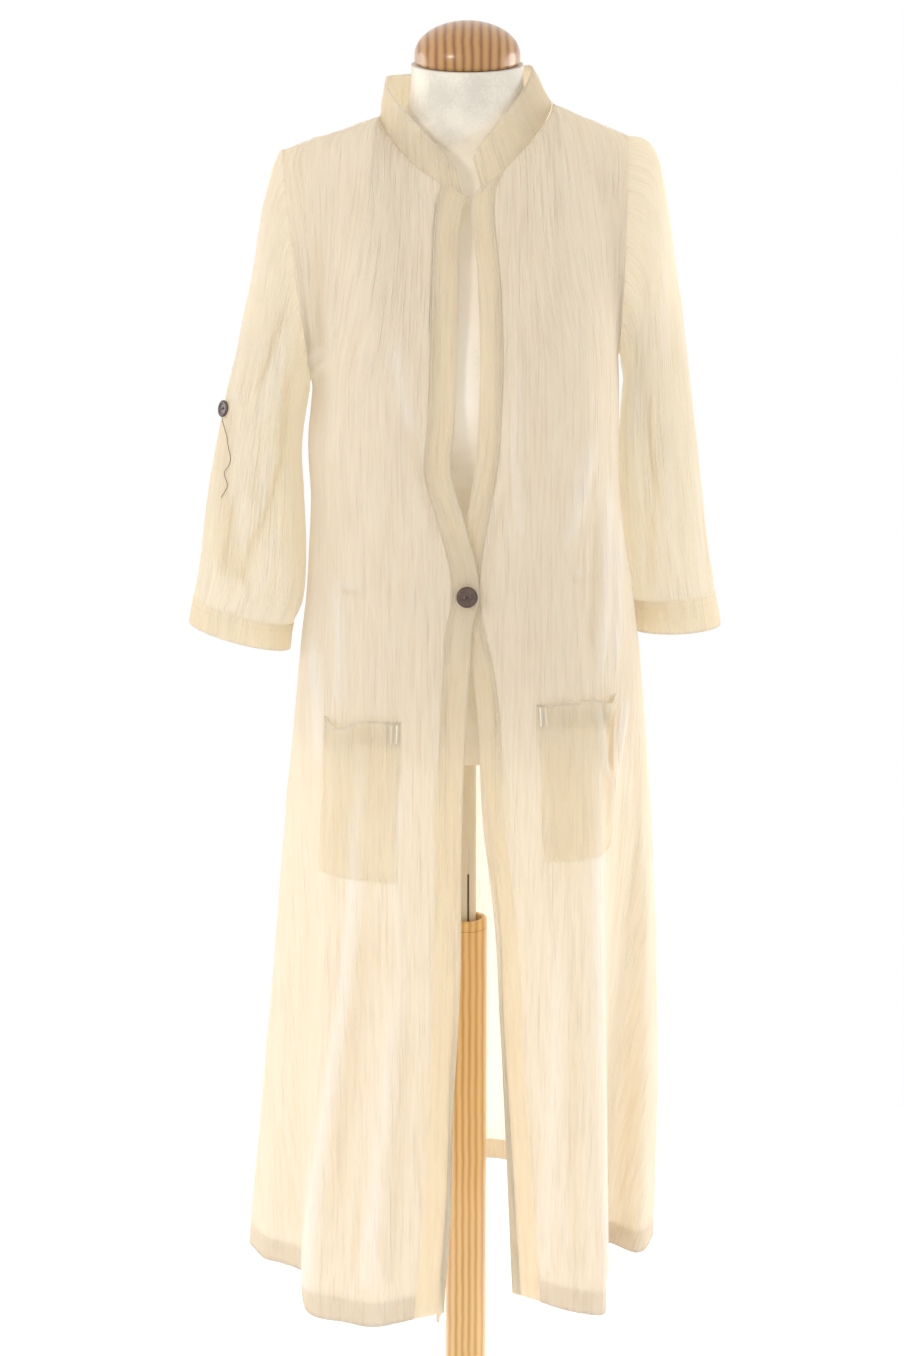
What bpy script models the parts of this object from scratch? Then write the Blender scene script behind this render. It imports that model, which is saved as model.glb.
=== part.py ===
"""Long stand-collar jacket of thin crinkled cotton on a limbless dress form with a wooden stand.

Metres, +Z up, floor at z = 0 under the pole's axis. The front faces -Y and the wearer's right is
at -X. Each cloth piece is an inner face worked out from tables, made a wall outwards by Solidify.
"""
import math

import bmesh
import bpy
import numpy as np
from mathutils import Matrix, Vector

RIGHT, LEFT = -1, 1          # the wearer's sides

# cloth
WALL = 0.0014                # one layer of crinkled cotton
DOUBLE_WALL = 0.0020         # bands, collar and cuffs are two layers
SEAM_GAP = 0.0003            # between pieces sewn together
LAY_GAP = 0.0004             # between a panel and what lies on it
BAND_WIDTH = 0.025           # front band
LAP_OUT = 0.0050             # how far the upper front stands off the lower one at the button
POCKET_GAPE = 0.006          # how far a pocket mouth stands open

# heights
HEM_Z = 0.315
HIP_Z = 0.950
UNDERARM_Z = {RIGHT: 1.215, LEFT: 1.240}
SIDE_SEAM_Y = 0.008
BUTTON_Z = 1.025

# dress form and stand
TORSO_BOTTOM_Z = 0.853
STUMP_X = 0.1730             # the form's arm stumps, which end flat at the bottom
STUMP_BOTTOM_Z = {RIGHT: 1.2400, LEFT: 1.2580}
STUMP_GAP = 0.0090           # between a stump and the armhole round it
CAP_CENTRE = Vector((0.0, -0.0035, 1.5122))
CAP_TILT = math.radians(11.5)
CAP_RADIUS = 0.0500
CAP_SIDE = 0.008
CAP_DOME = 0.031
POLE_RADIUS = 0.0100
POLE_BOTTOM_Z = 0.368
POST_RADIUS = 0.0212
POST_TOP_Z = 0.668
POST_GROOVE_DROP = 0.010
MOUTH_RADIUS = 0.0155
MOUTH_DEPTH = 0.014
BORE_RADIUS = 0.0103
BORE_BOTTOM_Z = 0.150
BASE_RADIUS = 0.200
BASE_HEIGHT = 0.028
BASE_ROUND = 0.006

# buttons
FRONT_BUTTON = {"radius": 0.0100, "thick": 0.0034, "hole": 0.0011, "pitch": 0.0022}
SLEEVE_BUTTON = {"radius": 0.0083, "thick": 0.0030, "hole": 0.0010, "pitch": 0.0019}
SLEEVE_BUTTON_LEAN = {RIGHT: 0.40, LEFT: 0.0}    # how far a sleeve button leans to the front

# loose end of the button thread
THREAD_RADIUS = 0.0003
THREAD_LIFT = 0.0022         # its line off the sleeve's inner face
THREAD_POINTS = 56


class Table:
    """Rows of sizes under named columns; values run smoothly along the first column."""

    def __init__(self, columns, rows):
        self.columns = columns.split()
        self.rows = np.array(rows, dtype=float)

    def at(self, key, name):
        keys = self.rows[:, 0]
        values = self.rows[:, self.columns.index(name)]
        slopes = np.gradient(values, keys)
        key = float(np.clip(key, keys[0], keys[-1]))
        i = int(np.clip(np.searchsorted(keys, key) - 1, 0, len(keys) - 2))
        span = keys[i + 1] - keys[i]
        t = (key - keys[i]) / span
        start = (1 + 2 * t) * (1 - t) ** 2 * values[i] + t * (1 - t) ** 2 * span * slopes[i]
        end = t * t * (3 - 2 * t) * values[i + 1] + t * t * (t - 1) * span * slopes[i + 1]
        return float(start + end)


# Rings of the body between hip and underarm.
BODY = Table("z half_right half_left front back power", [
    (0.950, 0.1645, 0.1705, 0.134, 0.131, 2.25),
    (1.024, 0.1560, 0.1610, 0.131, 0.117, 2.30),
    (1.097, 0.1525, 0.1500, 0.132, 0.109, 2.35),
    (1.156, 0.1540, 0.1475, 0.134, 0.107, 2.40),
    (1.215, 0.1490, 0.1465, 0.133, 0.107, 2.40),
    (1.240, 0.1480, 0.1455, 0.130, 0.108, 2.40),
])

# Free edges of the two front bands; the lower front dips under the button.
EDGE = {
    RIGHT: Table("z x", [
        (0.315, -0.0282), (0.410, -0.0194), (0.523, -0.0139), (0.639, -0.0078), (0.810, -0.0053),
        (0.955, 0.0018), (0.996, 0.0047), (1.023, 0.0103), (1.044, 0.0086), (1.098, -0.0043),
        (1.135, -0.0150), (1.188, -0.0125), (1.271, -0.0096), (1.347, -0.0066), (1.385, -0.0005),
    ]),
    LEFT: Table("z x", [
        (0.315, 0.0535), (0.470, 0.0425), (0.600, 0.0330), (0.700, 0.0275), (0.800, 0.0160),
        (0.955, 0.0085), (0.990, 0.0040), (1.025, -0.0105), (1.056, 0.0041), (1.089, 0.0075),
        (1.207, 0.0112), (1.306, 0.0098), (1.360, 0.0039), (1.405, 0.0122),
    ]),
}

# Hem in plan, a row for each crest or valley: u runs from the free edge (-1) over the band seam
# (0) to the side seam (1); bulge is how far the cloth stands out half way down.
HEM_FRONT = {
    RIGHT: Table("u x y bulge", [
        (-1.00, -0.0282, -0.170, 0.0), (0.00, -0.0520, -0.181, 0.0), (0.10, -0.0690, -0.189, 0.0),
        (0.20, -0.0880, -0.196, 0.0), (0.33, -0.1170, -0.187, 0.0), (0.49, -0.1590, -0.160, 0.0),
        (0.56, -0.1640, -0.125, 0.0), (0.66, -0.1660, -0.082, 0.0), (0.78, -0.1860, -0.062, 0.0),
        (0.90, -0.2090, -0.048, 0.0), (1.00, -0.2265, -0.014, 0.0),
    ]),
    LEFT: Table("u x y bulge", [
        (-1.00, 0.0535, -0.130, 0.0), (0.00, 0.0735, -0.145, 0.0), (0.12, 0.0935, -0.159, 0.0),
        (0.25, 0.1165, -0.169, 0.0), (0.40, 0.1360, -0.165, 0.0), (0.50, 0.1370, -0.125, 0.0),
        (0.60, 0.1310, -0.075, 0.0), (0.70, 0.1360, -0.030, 0.003), (0.77, 0.1490, -0.014, 0.006),
        (0.87, 0.1760, -0.036, 0.010), (0.95, 0.1890, -0.022, 0.011), (1.00, 0.1960, 0.004, 0.011),
    ]),
}
HEM_BACK = Table("s x y bulge", [
    (-1.00, -0.2265, -0.014, 0.0), (-0.86, -0.2265, 0.040, 0.0), (-0.72, -0.1980, 0.085, 0.0),
    (-0.58, -0.1820, 0.140, 0.0), (-0.42, -0.1300, 0.142, 0.0), (-0.27, -0.0920, 0.195, 0.0),
    (-0.10, -0.0350, 0.174, 0.0), (0.07, 0.0300, 0.203, 0.0), (0.25, 0.0850, 0.174, 0.0),
    (0.42, 0.1300, 0.180, 0.0), (0.58, 0.1560, 0.127, 0.002), (0.73, 0.1900, 0.095, 0.006),
    (0.87, 0.1920, 0.045, 0.010), (1.00, 0.1960, 0.004, 0.011),
])

# Neckline and collar, by the angle round the neck from centre front (0) to centre back (180).
NECK_HALF, NECK_MID_X, NECK_MID_Y, NECK_DEPTH = 0.0820, -0.001, 0.002, 0.076
COLLAR_HALF, COLLAR_MID_X, COLLAR_MID_Y, COLLAR_DEPTH = 0.0700, -0.008, 0.004, 0.069
NECK_TILT = 0.073            # the wearer's left side sits higher
NECK = Table("angle seam_z collar_z", [
    (0, 1.390, 1.415), (12, 1.398, 1.431), (28, 1.412, 1.451), (42, 1.427, 1.466),
    (60, 1.447, 1.483), (90, 1.469, 1.503), (135, 1.473, 1.509), (180, 1.474, 1.511),
])
COLLAR_START, COLLAR_END = -2.0, -351.0     # degrees, from the right end round the back

# Armhole of the body, as an oval ring from the shoulder point to the underarm.
ARMHOLE = {
    RIGHT: {"outer_x": -0.1770, "outer_z": 1.4320, "inner_x": -0.1490, "inner_z": UNDERARM_Z[RIGHT],
            "mid_y": 0.010, "depth": 0.0620},
    LEFT: {"outer_x": 0.1520, "outer_z": 1.4450, "inner_x": 0.1455, "inner_z": UNDERARM_Z[LEFT],
           "mid_y": 0.010, "depth": 0.0620},
}

# Sleeve rings in the front view: the outer and inner end of each ring, its middle and half depth.
SLEEVE = {
    RIGHT: Table("ring outer_x outer_z inner_x inner_z mid_y depth", [
        (0, -0.1776, 1.4315, -0.1532, 1.2140, 0.010, 0.0615),
        (1, -0.1850, 1.4150, -0.1560, 1.2030, 0.009, 0.0615),
        (2, -0.1910, 1.3900, -0.1585, 1.1900, 0.008, 0.0610),
        (3, -0.1980, 1.3550, -0.1610, 1.1750, 0.006, 0.0600),
        (4, -0.2070, 1.3100, -0.1635, 1.1550, 0.004, 0.0580),
        (5, -0.2180, 1.2550, -0.1640, 1.1350, 0.002, 0.0550),
        (6, -0.2325, 1.1980, -0.1622, 1.1050, 0.000, 0.0520),
        (7, -0.2520, 1.1080, -0.1602, 1.0500, 0.000, 0.0490),
        (8, -0.2620, 1.0370, -0.1640, 1.0000, 0.000, 0.0470),
        (9, -0.2690, 1.0020, -0.1740, 0.9740, 0.000, 0.0460),
        (10, -0.2740, 0.9760, -0.1775, 0.9490, 0.000, 0.0450),
    ]),
    LEFT: Table("ring outer_x outer_z inner_x inner_z mid_y depth", [
        (0, 0.1526, 1.4450, 0.1500, 1.2390, 0.010, 0.0615),
        (1, 0.1715, 1.4410, 0.1530, 1.2260, 0.013, 0.0615),
        (2, 0.1830, 1.4250, 0.1555, 1.2120, 0.017, 0.0610),
        (3, 0.1910, 1.3930, 0.1550, 1.1950, 0.023, 0.0600),
        (4, 0.1980, 1.3550, 0.1540, 1.1750, 0.030, 0.0580),
        (5, 0.2065, 1.3050, 0.1528, 1.1500, 0.037, 0.0570),
        (6, 0.2155, 1.2400, 0.1518, 1.1200, 0.044, 0.0550),
        (7, 0.2230, 1.1980, 0.1520, 1.0950, 0.048, 0.0530),
        (8, 0.2345, 1.1100, 0.1550, 1.0600, 0.052, 0.0510),
        (9, 0.2440, 1.0400, 0.1610, 1.0200, 0.054, 0.0500),
        (10, 0.2505, 0.9980, 0.1655, 0.9910, 0.054, 0.0500),
        (11, 0.2570, 0.9640, 0.1690, 0.9600, 0.054, 0.0500),
    ]),
}

# Rings of the form; tilt is the rise of a ring from front to back.
TORSO = Table("z half front back power tilt", [
    (0.8530, 0.1540, 0.1000, 0.1160, 2.3, 0.00),
    (0.8900, 0.1560, 0.1040, 0.1200, 2.3, 0.00),
    (0.9500, 0.1490, 0.1020, 0.1080, 2.3, 0.00),
    (1.0100, 0.1320, 0.0930, 0.0900, 2.3, 0.00),
    (1.0600, 0.1200, 0.0880, 0.0800, 2.3, 0.00),
    (1.1100, 0.1240, 0.0960, 0.0830, 2.3, 0.00),
    (1.1600, 0.1330, 0.1140, 0.0910, 2.3, 0.00),
    (1.2050, 0.1385, 0.1230, 0.0960, 2.3, 0.00),
    (1.2400, 0.1400, 0.1180, 0.0980, 2.3, 0.00),
    (1.2700, 0.1455, 0.1080, 0.0985, 2.3, 0.00),
    (1.3000, 0.1530, 0.0970, 0.0980, 2.3, 0.00),
    (1.3400, 0.1610, 0.0820, 0.0920, 2.3, 0.00),
    (1.3800, 0.1670, 0.0640, 0.0780, 2.2, 0.02),
    (1.4050, 0.1690, 0.0480, 0.0640, 2.1, 0.04),
    (1.4200, 0.1600, 0.0400, 0.0560, 2.0, 0.06),
    (1.4320, 0.1346, 0.0400, 0.0572, 2.0, 0.09),
    (1.4430, 0.1066, 0.0440, 0.0592, 2.0, 0.12),
    (1.4530, 0.0780, 0.0480, 0.0600, 2.0, 0.16),
    (1.4640, 0.0625, 0.0520, 0.0590, 2.0, 0.20),
    (1.4850, 0.0545, 0.0550, 0.0520, 2.0, 0.21),
    (1.5115, 0.0530, 0.0565, 0.0495, 2.0, 0.2035),
])

# The loose thread lies down the right sleeve from its button.
THREAD = Table("share turn ring", [
    (0.00, 26, 6.20), (0.15, 34, 6.26), (0.30, 42, 6.36), (0.45, 52, 6.47), (0.57, 50, 6.57),
    (0.68, 46, 6.66), (0.80, 53, 6.75), (0.90, 51, 6.84), (1.00, 47, 6.93),
])

# Columns of the panels; a pocket takes the columns from its first to its last.
FRONT_COLUMNS = {
    RIGHT: (0.0, 0.085, 0.17, 0.25, 0.33, 0.41, 0.49, 0.56, 0.64, 0.72, 0.80, 0.87, 0.94, 1.0),
    LEFT: (0.0, 0.08, 0.16, 0.25, 0.34, 0.43, 0.52, 0.605, 0.68, 0.75, 0.82, 0.88, 0.94, 1.0),
}
NECK_COLUMN = 5
POCKET_COLUMNS = (2, 7)
POCKET_Z = {RIGHT: (0.750, 0.904), LEFT: (0.768, 0.920)}
BACK_COLUMNS = 28
BACK_NECK = 0.5              # the part of the back's half width under the collar, at the top
BODY_ROWS, YOKE_ROWS = 6, 8
SLEEVE_SIDES = 18
SLEEVE_TAB_SIDES = {RIGHT: (0, 2), LEFT: (-3, -1)}
SLEEVE_TAB_TWIST = {RIGHT: math.radians(25), LEFT: 0.0}    # how far a tab turns forwards in each ring
SLEEVE_TAB_RINGS = {RIGHT: (6, 8), LEFT: (7, 9)}


def lerp(a, b, t):
    return a + (b - a) * t


def fade(value, start, end):
    t = min(1.0, max(0.0, (value - start) / (end - start)))
    return t * t * (3 - 2 * t)


def arc(f, power):
    """Depth of a superelliptic quarter at the share f of its half width."""
    return max(0.0, 1 - abs(f) ** power) ** (1 / power)


def neck_point(degrees, part):
    """A point of the neckline seam (part 0) or of the collar's top edge (part 1)."""
    turn = math.radians(degrees)
    angle = abs(degrees)
    angle = 360 - angle if angle > 180 else angle
    half = lerp(NECK_HALF, COLLAR_HALF, part)
    x = lerp(NECK_MID_X, COLLAR_MID_X, part) + half * math.sin(turn)
    y = lerp(NECK_MID_Y, COLLAR_MID_Y, part) - lerp(NECK_DEPTH, COLLAR_DEPTH, part) * math.cos(turn)
    z = lerp(NECK.at(angle, "seam_z"), NECK.at(angle, "collar_z"), part)
    return np.array((x, y, z + NECK_TILT * x))


def ring_point(row, turn):
    """A point of an oval ring; turn 0 is its outer or top end and a quarter turn its front."""
    outer = np.array((row["outer_x"], row["mid_y"], row["outer_z"]))
    inner = np.array((row["inner_x"], row["mid_y"], row["inner_z"]))
    reach = (outer - inner) / 2
    return (outer + inner) / 2 + reach * math.cos(turn) + np.array((0, -row["depth"], 0)) * math.sin(turn)


def armhole_point(side, turn):
    """The edge of the body round the armhole."""
    return ring_point(ARMHOLE[side], turn)


def sleeve_point(side, turn, ring):
    """Inner face of a sleeve."""
    return ring_point({name: SLEEVE[side].at(ring, name) for name in SLEEVE[side].columns}, turn)


def half_width(side, z):
    return BODY.at(z, "half_right" if side == RIGHT else "half_left")


def front_ring(side, u, z):
    """Inner face of a front between hip and underarm."""
    edge = EDGE[side].at(z, "x")
    seam = edge + side * BAND_WIDTH
    if u < 0:
        return np.array((lerp(seam, edge, -u), -BODY.at(z, "front"), z))
    f = math.sin(u * math.pi / 2)
    x = lerp(seam, side * half_width(side, z), f)
    y = SIDE_SEAM_Y - (BODY.at(z, "front") + SIDE_SEAM_Y) * arc(f, BODY.at(z, "power"))
    return np.array((x, y, z))


def skirt(hem, hip, bulge, side, t):
    point = lerp(hem, hip, t)
    point[0] += side * bulge * 4 * t * (1 - t)
    return point


def front_top(side, u):
    """Top edge of a front: neckline from the band to the shoulder, then the shoulder seam."""
    edge = EDGE[side].at(EDGE[side].rows[-1, 0], "x")
    first = math.degrees(math.asin((side * (edge - NECK_MID_X) + BAND_WIDTH) / NECK_HALF))
    neck_u = FRONT_COLUMNS[side][NECK_COLUMN]
    if u < 0:
        start = math.degrees(math.asin((edge - NECK_MID_X) / NECK_HALF))
        return neck_point(lerp(side * first, start, -u), 0)
    if u <= neck_u:
        return neck_point(side * lerp(first, 90, u / neck_u), 0)
    return lerp(neck_point(side * 90, 0), armhole_point(side, 0), (u - neck_u) / (1 - neck_u))


def front_point(side, u, level):
    """Inner face of a front; level 0 is the hem, 1 the hip, 2 the underarm and 3 the top."""
    table = HEM_FRONT[side]
    if level <= 1:
        hem = np.array((table.at(u, "x"), table.at(u, "y"), HEM_Z))
        point = skirt(hem, front_ring(side, u, HIP_Z), table.at(u, "bulge"), side, level)
        straight = lerp(table.at(-1, "x"), EDGE[side].at(HIP_Z, "x"), level)
        point[0] += (EDGE[side].at(point[2], "x") - straight) * (1 - max(0, u)) ** 3
    elif level <= 2:
        point = front_ring(side, u, lerp(HIP_Z, UNDERARM_Z[side], level - 1))
    else:
        point = yoke_point(side, u, level - 2)
    if side == RIGHT:
        near = fade(point[2], 0.86, 0.97) * (1 - fade(point[2], 1.08, 1.19))
        point[1] -= LAP_OUT * near * (1 - fade(u, 0.0, 0.5))
    return point


def yoke_point(side, u, v):
    """Front above the underarm, bent to meet the armhole."""
    def plain(at):
        low = front_ring(side, at, UNDERARM_Z[side])
        top = front_top(side, at)
        flat = lerp(1.25, 2.0, fade(at, 0.0, 0.45))
        turn = v * math.pi / 2
        x = lerp(low[0], top[0], v)
        if at <= 0:
            x = EDGE[side].at(lerp(low[2], top[2], v), "x") + side * BAND_WIDTH * (1 + at)
            x = lerp(x, top[0], fade(v, 0.8, 1.0))
        y = top[1] + (low[1] - top[1]) * max(0.0, math.cos(turn)) ** (2 / flat)
        return np.array((x, y, low[2] + (top[2] - low[2]) * math.sin(turn) ** (2 / flat)))
    point = plain(u)
    if u > 0:
        point = point + (armhole_point(side, math.pi * (1 - v)) - plain(1.0)) * u ** 4
    return point


def back_point(s, level):
    """Inner face of the back; s runs from the right side seam (-1) to the left one (1)."""
    side = RIGHT if s < 0 else LEFT
    f = math.sin(s * math.pi / 2)
    top_z = lerp(UNDERARM_Z[RIGHT], UNDERARM_Z[LEFT], (s + 1) / 2)

    def ring(at, z):
        share = math.sin(at * math.pi / 2)
        y = SIDE_SEAM_Y + (BODY.at(z, "back") - SIDE_SEAM_Y) * arc(share, BODY.at(z, "power"))
        width = half_width(RIGHT if at < 0 else LEFT, z)
        return np.array((share * width, y, z))

    if level <= 1:
        hem = np.array((HEM_BACK.at(s, "x"), HEM_BACK.at(s, "y"), HEM_Z))
        return skirt(hem, ring(s, HIP_Z), HEM_BACK.at(s, "bulge"), side, level)
    if level <= 2:
        return ring(s, lerp(HIP_Z, top_z, level - 1))
    v = level - 2
    turn = v * math.pi / 2

    def plain(at, z):
        low = ring(at, z)
        share = abs(at)
        if share <= BACK_NECK:
            top = neck_point(math.copysign(180 - 90 * share / BACK_NECK, at), 0)
        else:
            t = (share - BACK_NECK) / (1 - BACK_NECK)
            top = lerp(neck_point(side * 90, 0), armhole_point(side, 0), t)
        y = top[1] + (low[1] - top[1]) * max(0.0, math.cos(turn))
        return np.array((lerp(low[0], top[0], v), y, z + (top[2] - z) * math.sin(turn)))

    armhole = armhole_point(side, -math.pi * (1 - v))
    return plain(s, top_z) + (armhole - plain(side, UNDERARM_Z[side])) * abs(f) ** 4


def skirt_levels(side):
    """Rows from hem to hip, with a row on each end of the pocket."""
    low, high = (lerp(0, 1, (z - HEM_Z) / (HIP_Z - HEM_Z)) for z in POCKET_Z[side])
    return [*np.linspace(0, low, 5), *np.linspace(low, high, 5)[1:], 1.0]


def front_levels(side):
    return [*skirt_levels(side), *np.linspace(1, 2, BODY_ROWS)[1:], *np.linspace(2, 3, YOKE_ROWS)[1:]]


def material(name, colour, roughness=0.85, metallic=0.0):
    made = bpy.data.materials.new(name)
    made.use_nodes = True
    shader = made.node_tree.nodes["Principled BSDF"]
    shader.inputs["Base Color"].default_value = (*colour, 1.0)
    shader.inputs["Roughness"].default_value = roughness
    shader.inputs["Metallic"].default_value = metallic
    return made


def finish(name, bm, collection, look):
    bmesh.ops.recalc_face_normals(bm, faces=bm.faces)
    mesh = bpy.data.meshes.new(name)
    bm.to_mesh(mesh)
    bm.free()
    made = bpy.data.objects.new(name, mesh)
    mesh.materials.append(look)
    collection.objects.link(made)
    return made


def sheet(name, columns, rows, place, collection, look, wall=WALL, outward=None, closed=False, lift=0.0, grow=1.0):
    """A grid laid out by place(column, row), thickened outwards from it, or inwards where grow is -1."""
    bm = bmesh.new()
    across, up = len(columns) - 1, len(rows) - 1
    bmesh.ops.create_grid(bm, x_segments=across, y_segments=up, size=0.5)
    for vert in bm.verts:
        i = round((vert.co.x + 0.5) * across)
        j = round((vert.co.y + 0.5) * up)
        vert.co = Vector(place(columns[i], rows[j]))
    if closed:
        bmesh.ops.remove_doubles(bm, verts=bm.verts, dist=0.00001)
    bm.normal_update()
    middle = sum((face.calc_center_median() for face in bm.faces), Vector()) / len(bm.faces)
    facing = 0.0
    for face in bm.faces:
        away = outward if outward is not None else face.calc_center_median() - middle
        facing += face.normal.dot(away) * face.calc_area()
    if facing < 0:
        bmesh.ops.reverse_faces(bm, faces=bm.faces)
        bm.normal_update()
    moved = [(vert, vert.co + vert.normal * lift) for vert in bm.verts]
    for vert, where in moved:
        vert.co = where
    mesh = bpy.data.meshes.new(name)
    bm.to_mesh(mesh)
    bm.free()
    made = bpy.data.objects.new(name, mesh)
    mesh.materials.append(look)
    collection.objects.link(made)
    thick = made.modifiers.new("wall", "SOLIDIFY")
    thick.thickness = wall
    thick.offset = grow
    return made


def turned(name, profile, collection, look, steps=40, place=Matrix()):
    """A body of revolution; the profile runs top to bottom on the outer side."""
    bm = bmesh.new()
    verts = [bm.verts.new((r, 0, z)) for r, z in profile]
    edges = [bm.edges.new(pair) for pair in zip(verts, verts[1:])]
    bmesh.ops.spin(bm, geom=verts + edges, cent=(0, 0, 0), axis=(0, 0, 1),
                   angle=2 * math.pi, steps=steps, use_merge=True)
    bmesh.ops.remove_doubles(bm, verts=bm.verts, dist=0.00001)
    bmesh.ops.transform(bm, matrix=place, verts=bm.verts)
    return finish(name, bm, collection, look)


def quarter(radius, height, base, steps):
    """Profile points of a dome from its top down to its base."""
    turns = [math.pi / 2 * k / steps for k in range(steps + 1)]
    return [(radius * math.sin(a), base + height * math.cos(a)) for a in turns]


def stump_reach(side, half, y, z):
    """How far an arm stump stands out past the form's side, inside the armhole."""
    ring = ARMHOLE[side]
    middle, reach = (ring["outer_z"] + ring["inner_z"]) / 2, (ring["outer_z"] - ring["inner_z"]) / 2
    depth = ring["depth"] * math.sqrt(max(0.0, 1 - ((z - middle) / reach) ** 2)) - STUMP_GAP
    if depth <= 0 or half >= STUMP_X:
        return 0.0
    bottom = STUMP_BOTTOM_Z[side]
    share = fade(z, bottom, bottom + 0.008) * (1 - fade(z, 1.36, 1.41))
    return (STUMP_X - half) * share * max(0.0, 1 - ((y - ring["mid_y"]) / depth) ** 2)


def make_torso(collection, look):
    sides, rings = 40, 26
    heights = np.linspace(TORSO_BOTTOM_Z, TORSO.rows[-1, 0], rings + 1)
    heights = sorted({*heights[:-6], *np.linspace(heights[-7], heights[-1], 12)})
    heights = sorted({*heights, *(z + up for z in STUMP_BOTTOM_Z.values() for up in (0.0, 0.008))})
    bm = bmesh.new()
    bmesh.ops.create_cone(bm, cap_ends=True, segments=sides, radius1=1, radius2=1, depth=1)
    wall = [edge for edge in bm.edges if abs(edge.verts[0].co.z - edge.verts[1].co.z) > 0.5]
    bmesh.ops.subdivide_edges(bm, edges=wall, cuts=len(heights) - 2, use_grid_fill=True)
    for vert in bm.verts:
        row = round((vert.co.z + 0.5) * (len(heights) - 1))
        z = heights[row]
        size = {name: TORSO.at(z, name) for name in TORSO.columns}
        turn = math.atan2(vert.co.x, -vert.co.y)
        wide, deep = math.sin(turn), math.cos(turn)
        curve = 2 / size["power"]
        x = size["half"] * math.copysign(abs(wide) ** curve, wide)
        middle = (size["back"] - size["front"]) / 2
        y = middle - (size["back"] + size["front"]) / 2 * math.copysign(abs(deep) ** curve, deep)
        if abs(wide) > 0.5:
            side = LEFT if wide > 0 else RIGHT
            x += side * stump_reach(side, size["half"], y, z)
        vert.co = Vector((x, y, z + size["tilt"] * (y - middle)))
    return finish("torso", bm, collection, look)


def button(name, size, centre, facing, collection, look):
    """A two-hole button with a raised rim; its back lies at centre and it faces outwards."""
    r, h = size["radius"], size["thick"]
    profile = [(0, h * 0.72), (r * 0.60, h * 0.72), (r * 0.74, h), (r * 0.90, h),
               (r, h * 0.72), (r, h * 0.30), (r * 0.86, 0), (0, 0)]
    place = Matrix.Translation(centre) @ Vector(facing).to_track_quat("Z", "Y").to_matrix().to_4x4()
    made = turned(name, profile, collection, look, 20, place)
    aside = Matrix.Rotation(math.radians(12), 4, "Z")    # keeps the holes off the disc's own edges
    for k in (-1, 1):
        bpy.ops.mesh.primitive_cylinder_add(vertices=8, radius=size["hole"], depth=3 * h)
        drill = bpy.context.object
        drill.matrix_world = place @ aside @ Matrix.Translation((k * size["pitch"], 0, 0))
        drill.name = f"{name}_hole_{'left' if k < 0 else 'right'}"
        for owner in list(drill.users_collection):
            owner.objects.unlink(drill)
        cutters = bpy.data.collections["cutters"]
        cutters.objects.link(drill)
        drill.hide_render = True
        drill.display_type = "WIRE"
        cut = made.modifiers.new("hole", "BOOLEAN")
        cut.operation = "DIFFERENCE"
        cut.solver = "EXACT"
        cut.object = drill
    return made


def outer_normal(side, turn, ring):
    step = 0.02
    round_it = sleeve_point(side, turn + step, ring) - sleeve_point(side, turn - step, ring)
    down = sleeve_point(side, turn, ring + step) - sleeve_point(side, turn, ring - step)
    normal = np.cross(round_it, down)
    middle = (sleeve_point(side, 0, ring) + sleeve_point(side, math.pi, ring)) / 2
    if normal.dot(sleeve_point(side, turn, ring) - middle) < 0:
        normal = -normal
    return normal / np.linalg.norm(normal)


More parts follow.
